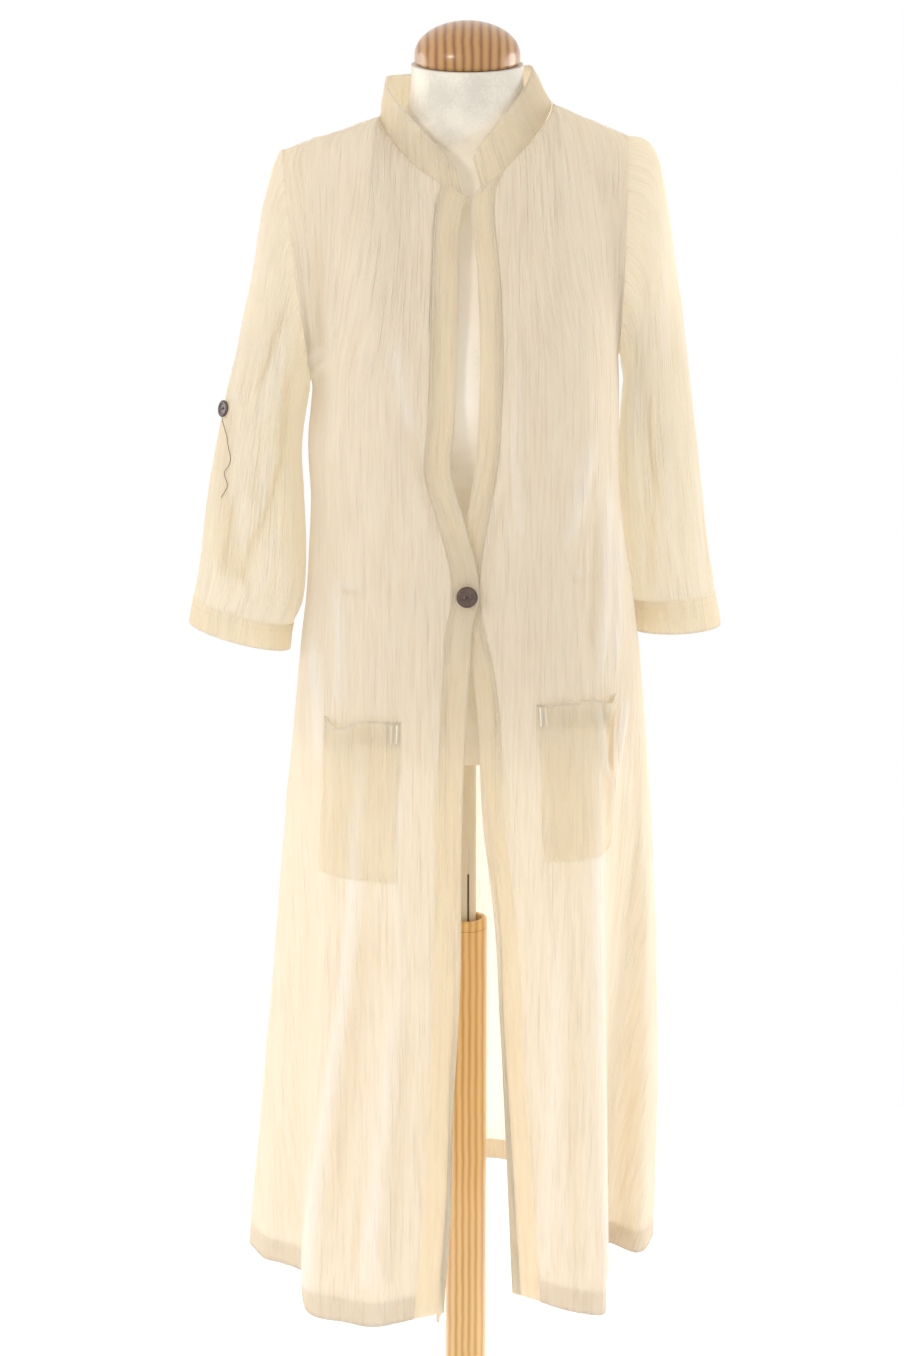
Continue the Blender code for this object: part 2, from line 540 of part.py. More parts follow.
def make_side(side, word, collection, looks):
    """Front, band, pocket, sleeve, cuff, tab and sleeve button of one side."""
    cloth = looks["cloth"]
    columns = FRONT_COLUMNS[side]
    levels = front_levels(side)
    forward = Vector((0, -1, 0))

    def front(u, level):
        point = front_point(side, u, level)
        if u == 1.0:
            point[1] -= SEAM_GAP / 2
            if level > 2:
                point[0] -= side * 0.0002
        if level == 3 and u >= columns[NECK_COLUMN]:
            point[1] -= SEAM_GAP / 2
        if u == 0.0:
            point[0] += side * SEAM_GAP
        return point

    sheet(f"front_{word}", columns, levels, front, collection, cloth, outward=forward)
    sheet(f"band_{word}", (-1.0, -0.5, 0.0), levels, lambda u, level: front_point(side, u, level),
          collection, looks["double"], DOUBLE_WALL, forward)

    first, last = POCKET_COLUMNS
    low, high = (lerp(0, 1, (z - HEM_Z) / (HIP_Z - HEM_Z)) for z in POCKET_Z[side])
    pocket_levels = [level for level in levels if low - 0.001 <= level <= high + 0.001]

    def pocket(u, level):
        point = front_point(side, u, level)
        mouth = fade(level, lerp(low, high, 0.45), high)
        open_at = math.sin(math.pi * (u - columns[first]) / (columns[last] - columns[first]))
        return point + np.array((side * 0.4, -0.9, 0)) * POCKET_GAPE * mouth * open_at

    sheet(f"pocket_{word}", columns[first:last + 1], pocket_levels, pocket, collection, looks["pocket"],
          outward=forward, lift=WALL + LAY_GAP)

    end = int(SLEEVE[side].rows[-1, 0])
    turns = [2 * math.pi * k / SLEEVE_SIDES for k in range(SLEEVE_SIDES + 1)]
    rings = [0, 0.5, *range(1, end)]
    step = np.linalg.norm(sleeve_point(side, 0, end) - sleeve_point(side, 0, end - 1))

    def sleeve(turn, ring):
        if ring == end - 1:
            ring -= SEAM_GAP / step
        return sleeve_point(side, turn, ring)

    sheet(f"sleeve_{word}", turns, rings, sleeve, collection, cloth, closed=True)
    sheet(f"cuff_{word}", turns, (end - 1, end - 0.5, end), lambda turn, ring: sleeve_point(side, turn, ring),
          collection, looks["double"], DOUBLE_WALL, closed=True)

    a, b = SLEEVE_TAB_SIDES[side]
    start, stop = SLEEVE_TAB_RINGS[side]
    middle = sleeve_point(side, 0, start) - sleeve_point(side, math.pi, start)
    tab_turns = [2 * math.pi * k / SLEEVE_SIDES for k in range(a, b + 1)]
    facet = 0.0013 if SLEEVE_TAB_TWIST[side] else 0.0002    # a twisted tab also clears the flats of the sleeve

    def tab(turn, ring):
        at = sleeve_point(side, turn + SLEEVE_TAB_TWIST[side] * (ring - start), ring)
        axis = (sleeve_point(side, 0, ring) + sleeve_point(side, math.pi, ring)) / 2
        return lerp(at, axis, facet / np.linalg.norm(axis - at))

    sheet(f"sleeve_tab_{word}", tab_turns, np.linspace(start, stop, 5), tab, collection, looks["double"],
          outward=Vector(middle), lift=-(WALL + LAY_GAP))
    centre, facing = sleeve_button_place(side)
    button(f"button_sleeve_{word}", SLEEVE_BUTTON, centre, facing, collection, looks["dark_button"])


def sleeve_button_place(side):
    """Where a sleeve button's back lies and which way it faces, over the top of its tab."""
    turn = 2 * math.pi * (SLEEVE_TAB_SIDES[side][0] + 1) / SLEEVE_SIDES
    ring = SLEEVE_TAB_RINGS[side][0] + 0.1
    normal = outer_normal(side, turn, ring)
    facing = normal + np.array((0, -SLEEVE_BUTTON_LEAN[side], 0))
    facing = facing / np.linalg.norm(facing)
    lean = np.linalg.norm(np.cross(normal, facing)) * SLEEVE_BUTTON["radius"] * 0.5
    return sleeve_point(side, turn, ring) + normal * (WALL + LAY_GAP + lean), facing


def make_thread(collection, look):
    """Loose end of thread, from under the right sleeve's button down the sleeve."""
    centre, facing = sleeve_button_place(RIGHT)
    up = np.array((0, 0, 1)) - facing * facing[2]
    up = up / np.linalg.norm(up)
    start = centre + facing * SLEEVE_BUTTON["thick"] * 0.4 - up * (SLEEVE_BUTTON["radius"] + 2 * THREAD_RADIUS)

    def lying(share):
        turn, ring = math.radians(THREAD.at(share, "turn")), THREAD.at(share, "ring")
        return sleeve_point(RIGHT, turn, ring) + outer_normal(RIGHT, turn, ring) * THREAD_LIFT

    line = bpy.data.curves.new("thread_sleeve_right", "CURVE")
    line.dimensions = "3D"
    line.bevel_depth = THREAD_RADIUS
    line.bevel_resolution = 2
    line.use_fill_caps = True
    spline = line.splines.new("POLY")
    spline.points.add(THREAD_POINTS - 1)
    for k, spot in enumerate(spline.points):
        share = k / (THREAD_POINTS - 1)
        at = lying(share) + (start - lying(0)) * (1 - fade(share, 0.0, 0.3))
        spot.co = (*at, 1.0)
    made = bpy.data.objects.new("thread_sleeve_right", line)
    line.materials.append(look)
    collection.objects.link(made)


def make_back(collection, look):
    columns = [2 * k / BACK_COLUMNS - 1 for k in range(BACK_COLUMNS + 1)]
    levels = [*np.linspace(0, 1, 7), *np.linspace(1, 2, BODY_ROWS)[1:], *np.linspace(2, 3, YOKE_ROWS)[1:]]

    def back(s, level):
        point = back_point(s, level)
        if abs(s) == 1.0:
            point[1] += SEAM_GAP / 2
            if level > 2:
                point[0] -= math.copysign(0.0002, s)
        if level == 3 and abs(s) >= BACK_NECK:
            point[1] += SEAM_GAP / 2
        return point

    sheet("back", columns, levels, back, collection, look, outward=Vector((0, 1, 0)))


def make_collar(collection, look):
    angles = np.linspace(COLLAR_START, COLLAR_END, 41)
    lift_off = (WALL + 3 * SEAM_GAP) / 0.036

    def collar(angle, part):
        return neck_point(angle, lerp(lift_off, 1, part))

    sheet("collar", list(angles), (0, 0.5, 1.0), collar, collection, look, DOUBLE_WALL, grow=-1.0)


def make_stand(collection, looks):
    cap_place = Matrix.Translation(CAP_CENTRE) @ Matrix.Rotation(CAP_TILT, 4, "X")
    cap = [*quarter(CAP_RADIUS, CAP_DOME, CAP_SIDE, 7), (CAP_RADIUS - 0.0015, 0), (0, 0)]
    turned("neck_cap", cap, collection, looks["pine"], 32, cap_place)
    top = TORSO_BOTTOM_Z - SEAM_GAP
    turned("pole", [(0, top), (POLE_RADIUS, top), (POLE_RADIUS, POLE_BOTTOM_Z), (0, POLE_BOTTOM_Z)],
           collection, looks["pole"], 24)
    groove = POST_TOP_Z - POST_GROOVE_DROP
    mouth = POST_TOP_Z - MOUTH_DEPTH
    foot = BASE_HEIGHT + SEAM_GAP
    post = [(0, BORE_BOTTOM_Z), (BORE_RADIUS, BORE_BOTTOM_Z), (BORE_RADIUS, mouth), (MOUTH_RADIUS, mouth),
            (MOUTH_RADIUS, POST_TOP_Z - 0.001), (MOUTH_RADIUS + 0.001, POST_TOP_Z),
            (POST_RADIUS - 0.0015, POST_TOP_Z), (POST_RADIUS, POST_TOP_Z - 0.0015),
            (POST_RADIUS, groove + 0.0006), (POST_RADIUS - 0.0006, groove), (POST_RADIUS, groove - 0.0006),
            (POST_RADIUS, foot), (0, foot)]
    turned("post", post, collection, looks["pine"], 24)
    base = [(0, BASE_HEIGHT), (BASE_RADIUS - BASE_ROUND, BASE_HEIGHT)]
    base += [(BASE_RADIUS - BASE_ROUND + BASE_ROUND * math.sin(a), BASE_HEIGHT - BASE_ROUND * (1 - math.cos(a)))
             for a in (math.pi / 6, math.pi / 3, math.pi / 2)]
    base += [(BASE_RADIUS, 0.002), (BASE_RADIUS - 0.002, 0), (0, 0)]
    turned("base", base, collection, looks["pine"], 48)


def main():
    for old in list(bpy.data.objects):
        bpy.data.objects.remove(old, do_unlink=True)
    collection = bpy.data.collections.new("kimono_jacket_on_dress_form")
    bpy.context.scene.collection.children.link(collection)
    cutters = bpy.data.collections.new("cutters")
    bpy.context.scene.collection.children.link(cutters)
    looks = {
        "cloth": material("ecru crinkled cotton", (0.80, 0.70, 0.54), 0.9),
        "double": material("doubled ecru cotton", (0.74, 0.62, 0.46), 0.9),
        "pocket": material("pocket cotton", (0.77, 0.66, 0.50), 0.9),
        "front_button": material("brown button", (0.19, 0.085, 0.035), 0.4),
        "dark_button": material("dark button", (0.06, 0.045, 0.04), 0.4),
        "dark_thread": material("dark thread", (0.05, 0.04, 0.035), 0.8),
        "jersey": material("off-white jersey", (0.76, 0.70, 0.61), 0.95),
        "pine": material("varnished pine", (0.66, 0.42, 0.20), 0.35),
        "pole": material("cream painted tube", (0.80, 0.74, 0.60), 0.4),
    }
    make_torso(collection, looks["jersey"])
    make_stand(collection, looks)
    make_back(collection, looks["cloth"])
    make_side(RIGHT, "right", collection, looks)
    make_side(LEFT, "left", collection, looks)
    make_thread(collection, looks["dark_thread"])
    make_collar(collection, looks["double"])
    face = max(BODY.at(BUTTON_Z + dz, "front") for dz in (-0.03, 0, 0.03)) + LAP_OUT + DOUBLE_WALL + LAY_GAP
    button("button_front", FRONT_BUTTON, Vector((-0.0005, -face, BUTTON_Z)), (0, -1, 0),
           collection, looks["front_button"])


main()
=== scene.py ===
import math

import bmesh
import bpy
import numpy as np
from mathutils import Matrix, Vector


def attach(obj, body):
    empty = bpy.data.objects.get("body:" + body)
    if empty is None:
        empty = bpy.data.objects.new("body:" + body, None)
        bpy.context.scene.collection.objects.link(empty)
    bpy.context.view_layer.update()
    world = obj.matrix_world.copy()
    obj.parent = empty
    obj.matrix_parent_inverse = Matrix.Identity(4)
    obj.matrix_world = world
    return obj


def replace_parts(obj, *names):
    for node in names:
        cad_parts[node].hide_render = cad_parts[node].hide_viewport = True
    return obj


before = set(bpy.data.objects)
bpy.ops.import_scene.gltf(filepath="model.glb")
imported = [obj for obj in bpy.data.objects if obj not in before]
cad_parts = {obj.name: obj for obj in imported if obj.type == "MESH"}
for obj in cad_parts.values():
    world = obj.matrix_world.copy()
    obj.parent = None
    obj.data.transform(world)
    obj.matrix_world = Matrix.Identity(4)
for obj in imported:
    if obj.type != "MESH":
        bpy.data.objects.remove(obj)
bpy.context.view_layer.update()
right, left = -1, 1  # the wearer's sides; the front faces -y
words = {right: "right", left: "left"}

# sizes that all the cloth pieces share, in metres
cotton = {"wall": 0.0008, "inner": 0.0003, "turn": 0.0011, "hem": 0.024, "hemRows": 9, "fullCrest": 0.003}
hemZ, hipZ = 0.315, 0.95
underarmZ = {right: 1.215, left: 1.24}
sideSeamY = 0.008
bandWidth = {right: 0.025, left: 0.021}
lap = {"out": 0.005, "reach": 0.5, "rise": (0.86, 0.97), "fall": (1.08, 1.19)}  # at the front button
lowCorner = {"drop": 0.014, "back": 0.008, "tall": 0.07, "fromU": 0.45}  # of the right front
touching = 0.00001  # points closer than this are joined


def mix(a, b, t):
    return a + (b - a) * t


def fade(value, start, end):
    t = np.clip((value - start) / (end - start), 0.0, 1.0)
    return t * t * (3 - 2 * t)


def arc(share, power):
    return np.maximum(0.0, 1 - np.abs(share) ** power) ** (1 / power)


def sizes(columns, rows):
    return {"columns": columns.split(), "rows": np.array(rows, dtype=float)}


def read(table, key, name):  # a smooth value along the table's first column
    keys = table["rows"][:, 0]
    values = table["rows"][:, table["columns"].index(name)]
    slopes = np.gradient(values, keys)
    key = np.clip(key, keys[0], keys[-1])
    i = np.clip(np.searchsorted(keys, key) - 1, 0, len(keys) - 2)
    span = keys[i + 1] - keys[i]
    t = (key - keys[i]) / span
    first = (1 + 2 * t) * (1 - t) ** 2 * values[i] + t * (1 - t) ** 2 * span * slopes[i]
    second = t * t * (3 - 2 * t) * values[i + 1] + t * t * (t - 1) * span * slopes[i + 1]
    return first + second


def point(x, y, z):
    return np.stack(np.broadcast_arrays(x, y, z), axis=-1).astype(float)


bodyRings = sizes("z halfRight halfLeft front back power", [
    (0.95, 0.1645, 0.1705, 0.134, 0.131, 2.25),
    (1.024, 0.156, 0.161, 0.131, 0.117, 2.3),
    (1.097, 0.1525, 0.15, 0.132, 0.109, 2.35),
    (1.156, 0.154, 0.1475, 0.134, 0.107, 2.4),
    (1.215, 0.149, 0.1465, 0.133, 0.107, 2.4),
    (1.24, 0.148, 0.1455, 0.13, 0.108, 2.4),
])
frontEdge = {  # the free edge of each front band
    right: sizes("z x", [
        (0.315, -0.0282), (0.41, -0.0194), (0.523, -0.0139), (0.639, -0.0078), (0.81, -0.0053),
        (0.955, 0.0018), (0.996, 0.0047), (1.023, 0.0103), (1.044, 0.0086), (1.098, -0.0043),
        (1.135, -0.015), (1.188, -0.0125), (1.271, -0.0096), (1.347, -0.0066), (1.385, -0.0005),
    ]),
    left: sizes("z x", [
        (0.315, 0.0535), (0.47, 0.0425), (0.6, 0.033), (0.7, 0.0275), (0.8, 0.016),
        (0.955, 0.004), (0.99, -0.004), (1.025, -0.009), (1.06, -0.007), (1.095, -0.001),
        (1.135, 0.006), (1.207, 0.0112), (1.306, 0.0098), (1.36, 0.0039), (1.405, 0.0122),
    ]),
}
hemFront = {  # the hem in plan: u is -1 at the free edge, 0 at the band seam and 1 at the side seam
    right: sizes("u x y bulge", [
        (-1.0, -0.0282, -0.17, 0.0), (0.0, -0.052, -0.181, 0.0), (0.1, -0.069, -0.189, 0.0),
        (0.2, -0.088, -0.196, 0.0), (0.33, -0.117, -0.187, 0.0), (0.49, -0.159, -0.16, 0.0),
        (0.56, -0.164, -0.125, 0.0), (0.66, -0.166, -0.082, 0.0), (0.78, -0.186, -0.062, 0.0),
        (0.9, -0.209, -0.048, 0.0), (1.0, -0.2265, -0.014, 0.0),
    ]),
    left: sizes("u x y bulge", [
        (-1.0, 0.0535, -0.13, 0.0), (0.0, 0.0735, -0.145, 0.0), (0.12, 0.0935, -0.159, 0.0),
        (0.25, 0.1165, -0.169, 0.0), (0.4, 0.136, -0.165, 0.0), (0.5, 0.137, -0.125, 0.0),
        (0.6, 0.131, -0.075, 0.0), (0.7, 0.136, -0.03, 0.003), (0.77, 0.149, -0.014, 0.006),
        (0.87, 0.176, -0.036, 0.01), (0.95, 0.189, -0.022, 0.011), (1.0, 0.196, 0.004, 0.011),
    ]),
}
hemBack = sizes("s x y bulge", [
    (-1.0, -0.2265, -0.014, 0.0), (-0.86, -0.2265, 0.04, 0.0), (-0.72, -0.198, 0.085, 0.0),
    (-0.58, -0.182, 0.14, 0.0), (-0.42, -0.13, 0.142, 0.0), (-0.27, -0.092, 0.195, 0.0),
    (-0.1, -0.035, 0.174, 0.0), (0.07, 0.03, 0.203, 0.0), (0.25, 0.085, 0.174, 0.0),
    (0.42, 0.13, 0.18, 0.0), (0.58, 0.156, 0.127, 0.002), (0.73, 0.19, 0.095, 0.006),
    (0.87, 0.192, 0.045, 0.01), (1.0, 0.196, 0.004, 0.011),
])
neck = {"half": 0.082, "midX": -0.001, "midY": 0.002, "depth": 0.076, "tilt": 0.073}
collarTop = {"half": 0.07, "midX": -0.008, "midY": 0.004, "depth": 0.069}
neckHeights = sizes("angle seamZ collarZ", [
    (0, 1.39, 1.415), (12, 1.398, 1.431), (28, 1.412, 1.451), (42, 1.427, 1.466),
    (60, 1.447, 1.483), (90, 1.469, 1.503), (135, 1.473, 1.509), (180, 1.474, 1.511),
])
armhole = {
    right: {"outerX": -0.177, "outerZ": 1.432, "innerX": -0.149, "innerZ": 1.215},
    left: {"outerX": 0.152, "outerZ": 1.445, "innerX": 0.1455, "innerZ": 1.24},
}
for ring in armhole.values():
    ring.update(midY=0.01, depth=0.062)
neckColumn = {right: 0.41, left: 0.43}  # the u where the shoulder seam meets the collar
backNeck = 0.5


def neckPoint(degrees, part):  # part 0 is the neckline seam and 1 the collar's top edge
    turn = np.radians(degrees)
    angle = np.abs(degrees)
    angle = np.where(angle > 180, 360 - angle, angle)
    keys = ("midX", "half", "midY", "depth")
    midX, half, midY, depth = (mix(neck[key], collarTop[key], part) for key in keys)
    x = midX + half * np.sin(turn)
    y = midY - depth * np.cos(turn)
    z = mix(read(neckHeights, angle, "seamZ"), read(neckHeights, angle, "collarZ"), part)
    return point(x, y, z + neck["tilt"] * x)


def ringPoint(ring, turn):  # an oval ring: turn 0 is its outer end, a quarter turn its front
    x = (ring["outerX"] + ring["innerX"]) / 2 + (ring["outerX"] - ring["innerX"]) / 2 * np.cos(turn)
    z = (ring["outerZ"] + ring["innerZ"]) / 2 + (ring["outerZ"] - ring["innerZ"]) / 2 * np.cos(turn)
    return point(x, ring["midY"] - ring["depth"] * np.sin(turn), z)


def halfWidth(side, z):
    return read(bodyRings, z, "halfRight" if side == right else "halfLeft")


def frontRing(side, u, z):
    edge = read(frontEdge[side], z, "x")
    seam = edge + side * bandWidth[side]
    front = read(bodyRings, z, "front")
    share = np.sin(np.clip(u, 0, 1) * np.pi / 2)
    x = np.where(u < 0, mix(seam, edge, -u), mix(seam, side * halfWidth(side, z), share))
    y = sideSeamY - (front + sideSeamY) * arc(share, read(bodyRings, z, "power"))
    return point(x, y, z)


def frontTop(side, u):
    edge = frontEdge[side]["rows"][-1, 1]
    first = math.degrees(math.asin((side * (edge - neck["midX"]) + bandWidth[side]) / neck["half"]))
    start = math.degrees(math.asin((edge - neck["midX"]) / neck["half"]))
    neckU = neckColumn[side]
    onNeck = np.where(u < 0, mix(side * first, start, -u), side * mix(first, 90, np.clip(u / neckU, 0, 1)))
    along = np.clip((u - neckU) / (1 - neckU), 0, 1)[..., None]
    seam = mix(neckPoint(np.asarray(side * 90.0), 0), ringPoint(armhole[side], 0.0), along)
    return np.where((u > neckU)[..., None], seam, neckPoint(onNeck, 0))


def yokePoint(side, u, v):
    turn = v * np.pi / 2

    def plain(at):
        low = frontRing(side, at, np.full_like(v, underarmZ[side]))
        top = frontTop(side, at)
        flat = mix(1.25, 2.0, fade(at, 0.0, 0.45))
        x = mix(low[..., 0], top[..., 0], v)
        edge = read(frontEdge[side], mix(low[..., 2], top[..., 2], v), "x")
        edge = edge + side * bandWidth[side] * (1 + at)
        x = np.where(at <= 0, mix(edge, top[..., 0], fade(v, 0.8, 1.0)), x)
        y = top[..., 1] + (low[..., 1] - top[..., 1]) * np.maximum(0.0, np.cos(turn)) ** (2 / flat)
        return point(x, y, low[..., 2] + (top[..., 2] - low[..., 2]) * np.sin(turn) ** (2 / flat))

    bend = ringPoint(armhole[side], np.pi * (1 - v)) - plain(np.ones_like(u))
    return plain(u) + bend * (np.maximum(u, 0) ** 4)[..., None]


def frontPoint(side, u, level):  # level 0 is the hem, 1 the hip, 2 the underarm and 3 the top
    table = hemFront[side]
    low = np.clip(level, 0, 1)
    hem = point(read(table, u, "x"), read(table, u, "y"), hemZ)
    skirt = mix(hem, frontRing(side, u, np.full_like(u, hipZ)), low[..., None])
    skirt[..., 0] += side * read(table, u, "bulge") * 4 * low * (1 - low)
    straight = mix(table["rows"][0, 1], read(frontEdge[side], hipZ, "x"), low)
    skirt[..., 0] += (read(frontEdge[side], skirt[..., 2], "x") - straight) * (1 - np.maximum(0, u)) ** 3
    body = frontRing(side, u, mix(hipZ, underarmZ[side], np.clip(level - 1, 0, 1)))
    yoke = yokePoint(side, u, np.clip(level - 2, 0, 1))
    at = level[..., None]
    made = np.where(at <= 1, skirt, np.where(at <= 2, body, yoke))
    if side == right:
        near = fade(made[..., 2], *lap["rise"]) * (1 - fade(made[..., 2], *lap["fall"]))
        made[..., 1] -= lap["out"] * near * (1 - fade(u, 0.0, lap["reach"]))
        corner = (1 - fade(level, 0.0, lowCorner["tall"])) * fade(-u, lowCorner["fromU"], 1.0)
        made[..., 2] -= lowCorner["drop"] * corner
        made[..., 1] += lowCorner["back"] * corner
    return made


def backPoint(s, level):  # s runs from the right side seam (-1) to the left one (1)
    sideOf = np.where(s < 0, right, left)
    topZ = mix(underarmZ[right], underarmZ[left], (s + 1) / 2)

    def ring(at, z):
        share = np.sin(at * np.pi / 2)
        y = sideSeamY + (read(bodyRings, z, "back") - sideSeamY) * arc(share, read(bodyRings, z, "power"))
        return point(share * np.where(at < 0, halfWidth(right, z), halfWidth(left, z)), y, z)

    low = np.clip(level, 0, 1)
    hem = point(read(hemBack, s, "x"), read(hemBack, s, "y"), hemZ)
    skirt = mix(hem, ring(s, np.full_like(s, hipZ)), low[..., None])
    skirt[..., 0] += sideOf * read(hemBack, s, "bulge") * 4 * low * (1 - low)
    body = ring(s, mix(hipZ, topZ, np.clip(level - 1, 0, 1)))
    v = np.clip(level - 2, 0, 1)
    turn = v * np.pi / 2

    def plain(at, z):
        base = ring(at, z)
        share = np.abs(at)
        onNeck = neckPoint(np.copysign(180 - 90 * np.minimum(share / backNeck, 1), at), 0)
        along = np.clip((share - backNeck) / (1 - backNeck), 0, 1)[..., None]
        ends = [mix(neckPoint(np.asarray(k * 90.0), 0), ringPoint(armhole[k], 0.0), along)
                for k in (right, left)]
        top = np.where((share > backNeck)[..., None], np.where((at < 0)[..., None], ends[0], ends[1]), onNeck)
        y = top[..., 1] + (base[..., 1] - top[..., 1]) * np.maximum(0.0, np.cos(turn))
        return point(mix(base[..., 0], top[..., 0], v), y, z + (top[..., 2] - z) * np.sin(turn))

    holes = []
    for k in (right, left):
        edge = plain(np.full_like(s, k), np.full_like(s, underarmZ[k]))
        holes.append(ringPoint(armhole[k], -np.pi * (1 - v)) - edge)
    bend = np.where((s < 0)[..., None], holes[0], holes[1]) * (np.abs(np.sin(s * np.pi / 2)) ** 4)[..., None]
    at = level[..., None]
    return np.where(at <= 1, skirt, np.where(at <= 2, body, plain(s, topZ) + bend))


def levelOf(side, z):  # the level of a height below the underarm
    return np.where(z < hipZ, (z - hemZ) / (hipZ - hemZ), 1 + (z - hipZ) / (underarmZ[side] - hipZ))


# relief of the cloth: crinkle from noise, and listed creases
def dotNoise(x, y, seed):
    cellX, cellY = np.floor(x), np.floor(y)
    fx, fy = x - cellX, y - cellY
    fx, fy = fx * fx * (3 - 2 * fx), fy * fy * (3 - 2 * fy)

    def corner(i, j):
        n = np.sin((cellX + i) * 127.1 + (cellY + j) * 311.7 + seed * 74.7) * 43758.5453
        return n - np.floor(n)

    return mix(mix(corner(0, 0), corner(1, 0), fx), mix(corner(0, 1), corner(1, 1), fx), fy) * 2 - 1


crinkle = {"fine": 0.00042, "fineWide": 0.0052, "fineLong": 0.05, "finer": 0.6, "finerWide": 0.62,
           "finerLong": 0.7, "broad": 0.0011, "broadWide": 0.021, "broadLong": 0.2, "sway": 0.006,
           "swayWide": 0.05, "swayLong": 0.09}
seeds = {"back": 5, "front": 11, "collar": 21, "sleeve": 31}


def crinkleAt(across, along, seed):  # long narrow ripples that run with the warp
    c = crinkle
    wide, long = c["fineWide"], c["fineLong"]
    sway = dotNoise(across / c["swayWide"], along / c["swayLong"], seed + 3) * c["sway"]
    fine = dotNoise((across + sway) / wide, along / long, seed)
    finer = dotNoise((across - sway) / (wide * c["finerWide"]), along / (long * c["finerLong"]), seed + 1)
    broad = dotNoise((across + 2 * sway) / c["broadWide"], along / c["broadLong"], seed + 2)
    return c["fine"] * (fine + c["finer"] * finer) + c["broad"] * broad


def toLine(x, z, line):  # the nearest distance to a line, and how far along it that is
    best = np.full(np.shape(x), 1e9)
    share = np.zeros(np.shape(x))
    steps = [math.dist(a, b) for a, b in zip(line, line[1:])]
    done, whole = 0.0, sum(steps)
    for (ax, az), (bx, bz), step in zip(line, line[1:], steps):
        t = np.clip(((x - ax) * (bx - ax) + (z - az) * (bz - az)) / step ** 2, 0, 1)
        away = np.hypot(x - mix(ax, bx, t), z - mix(az, bz, t))
        share = np.where(away < best, (done + t * step) / whole, share)
        best = np.minimum(best, away)
        done += step
    return best, share


def creaseAt(places, creases):  # each crease: line of (x, z) as seen from the front, width, height
    total = np.zeros(places.shape[:-1])
    for crease in creases:
        away, share = toLine(places[..., 0], places[..., 2], crease["line"])
        ends = fade(share, 0, crease.get("rise", 0.25)) * (1 - fade(share, 1 - crease.get("fall", 0.25), 1))
        total += crease["height"] * np.exp(-(away / crease["width"]) ** 2) * ends
    return total


def linked(name, data):
    made = bpy.data.objects.new(name, data)
    bpy.context.scene.collection.objects.link(made)
    return made


def meshFrom(name, bm):
    mesh = bpy.data.meshes.new(name)
    bm.to_mesh(mesh)
    bm.free()
    return linked(name, mesh)


def outward(place, u, v, hint):
    step = 0.003
    du = place(u + step, v) - place(u - step, v)
    dv = place(u, v + step) - place(u, v - step)
    normal = np.cross(du, dv)
    normal /= np.maximum(np.linalg.norm(normal, axis=-1), 1e-12)[..., None]
    facing = np.sum(normal * hint(place(u, v)), axis=-1)
    return normal * (1 if np.sum(facing) >= 0 else -1)


def grid(columns, rows):
    return np.meshgrid(np.asarray(columns, dtype=float), np.asarray(rows, dtype=float))


def runs(*spans):  # even steps through spans that join end to end
    steps = [np.linspace(*span) for span in spans]
    return np.concatenate(steps[:1] + [span[1:] for span in steps[1:]])


def layers(*parts):  # spans of cloth folded over each other, with the lift of every row
    rows = np.concatenate([np.linspace(*span) for span, lift in parts])
    return rows, np.concatenate([np.full(span[2], lift) for span, lift in parts])


def clothPiece(name, node, u, v, place, hint, look, relief, lift, pressed=None, closed=False,
               wall=cotton["wall"], warp=None, turned=0):
    # u and v are grids of panel coordinates, rows first; lift moves each point off the panel's face
    def press(at, au, av):
        return pressed(at, au, av) if pressed else np.zeros(np.shape(au))

    def onFace(au, av, out):
        at = place(au, av)
        push = out + relief(at, au, av) + press(at, au, av)
        return at + outward(place, au, av, hint) * np.asarray(push)[..., None]

    places = place(u, v)
    crest = press(places, u, v)
    places = places + outward(place, u, v, hint) * (lift + relief(places, u, v) + crest)[..., None]
    # crest, from -1 to 1, is kept on the mesh for the painted highlight on crease crests and the painted
    # shade in crease valleys
    crest = np.clip(crest / cotton["fullCrest"], -1, 1)
    across = np.cumsum(np.linalg.norm(np.diff(places, axis=1, prepend=places[:, :1]), axis=-1), axis=1)
    along = np.cumsum(np.linalg.norm(np.diff(places, axis=0, prepend=places[:1]), axis=-1), axis=0)
    if warp is None:
        across = np.mean(across, axis=0, keepdims=True) + np.zeros(u.shape)
    else:  # the warp runs straight down from one column
        way = np.sign(places[-1, -1, 0] - places[-1, 0, 0])
        across = way * (across - across[:, [warp]]) + places[:, [warp], 0]
    rows, columns = u.shape
    bm = bmesh.new()
    bmesh.ops.create_grid(bm, x_segments=columns - 1, y_segments=rows - 1, size=0.5)
    weave = bm.loops.layers.uv.new("cloth")
    paintedCrestLight = bm.verts.layers.float.new("crest")
    spot = {}
    for vert in bm.verts:
        spot[vert] = round((vert.co.y + 0.5) * (rows - 1)), round((vert.co.x + 0.5) * (columns - 1))
    for vert, at in spot.items():
        vert.co = places[at]
        vert[paintedCrestLight] = crest[at]
    for face in bm.faces:
        face.smooth = True
        face.material_index = int(max(spot[loop.vert][0] for loop in face.loops) < turned)
        for loop in face.loops:
            at = spot[loop.vert]
            loop[weave].uv = (across[at], along[at])
    if closed:
        bmesh.ops.remove_doubles(bm, verts=bm.verts, dist=touching)
    for edge in bm.edges:
        edge.smooth = not edge.is_boundary  # a cut edge stays crisp
    bm.normal_update()
    some = list(bm.verts)[::17]
    hints = hint(np.array([vert.co for vert in some]))
    if sum(vert.normal.dot(Vector(way)) for vert, way in zip(some, hints)) < 0:
        bmesh.ops.reverse_faces(bm, faces=bm.faces)
    made = meshFrom(name, bm)
    made.data.materials.append(look)
    if turned:
        made.data.materials.append(looks["hem"])
    shell = made.modifiers.new("wall", "SOLIDIFY")
    shell.thickness = wall
    shell.offset = 1.0
    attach(made, "form")
    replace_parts(made, node)
    return made, onFace


print("surfaces ready")


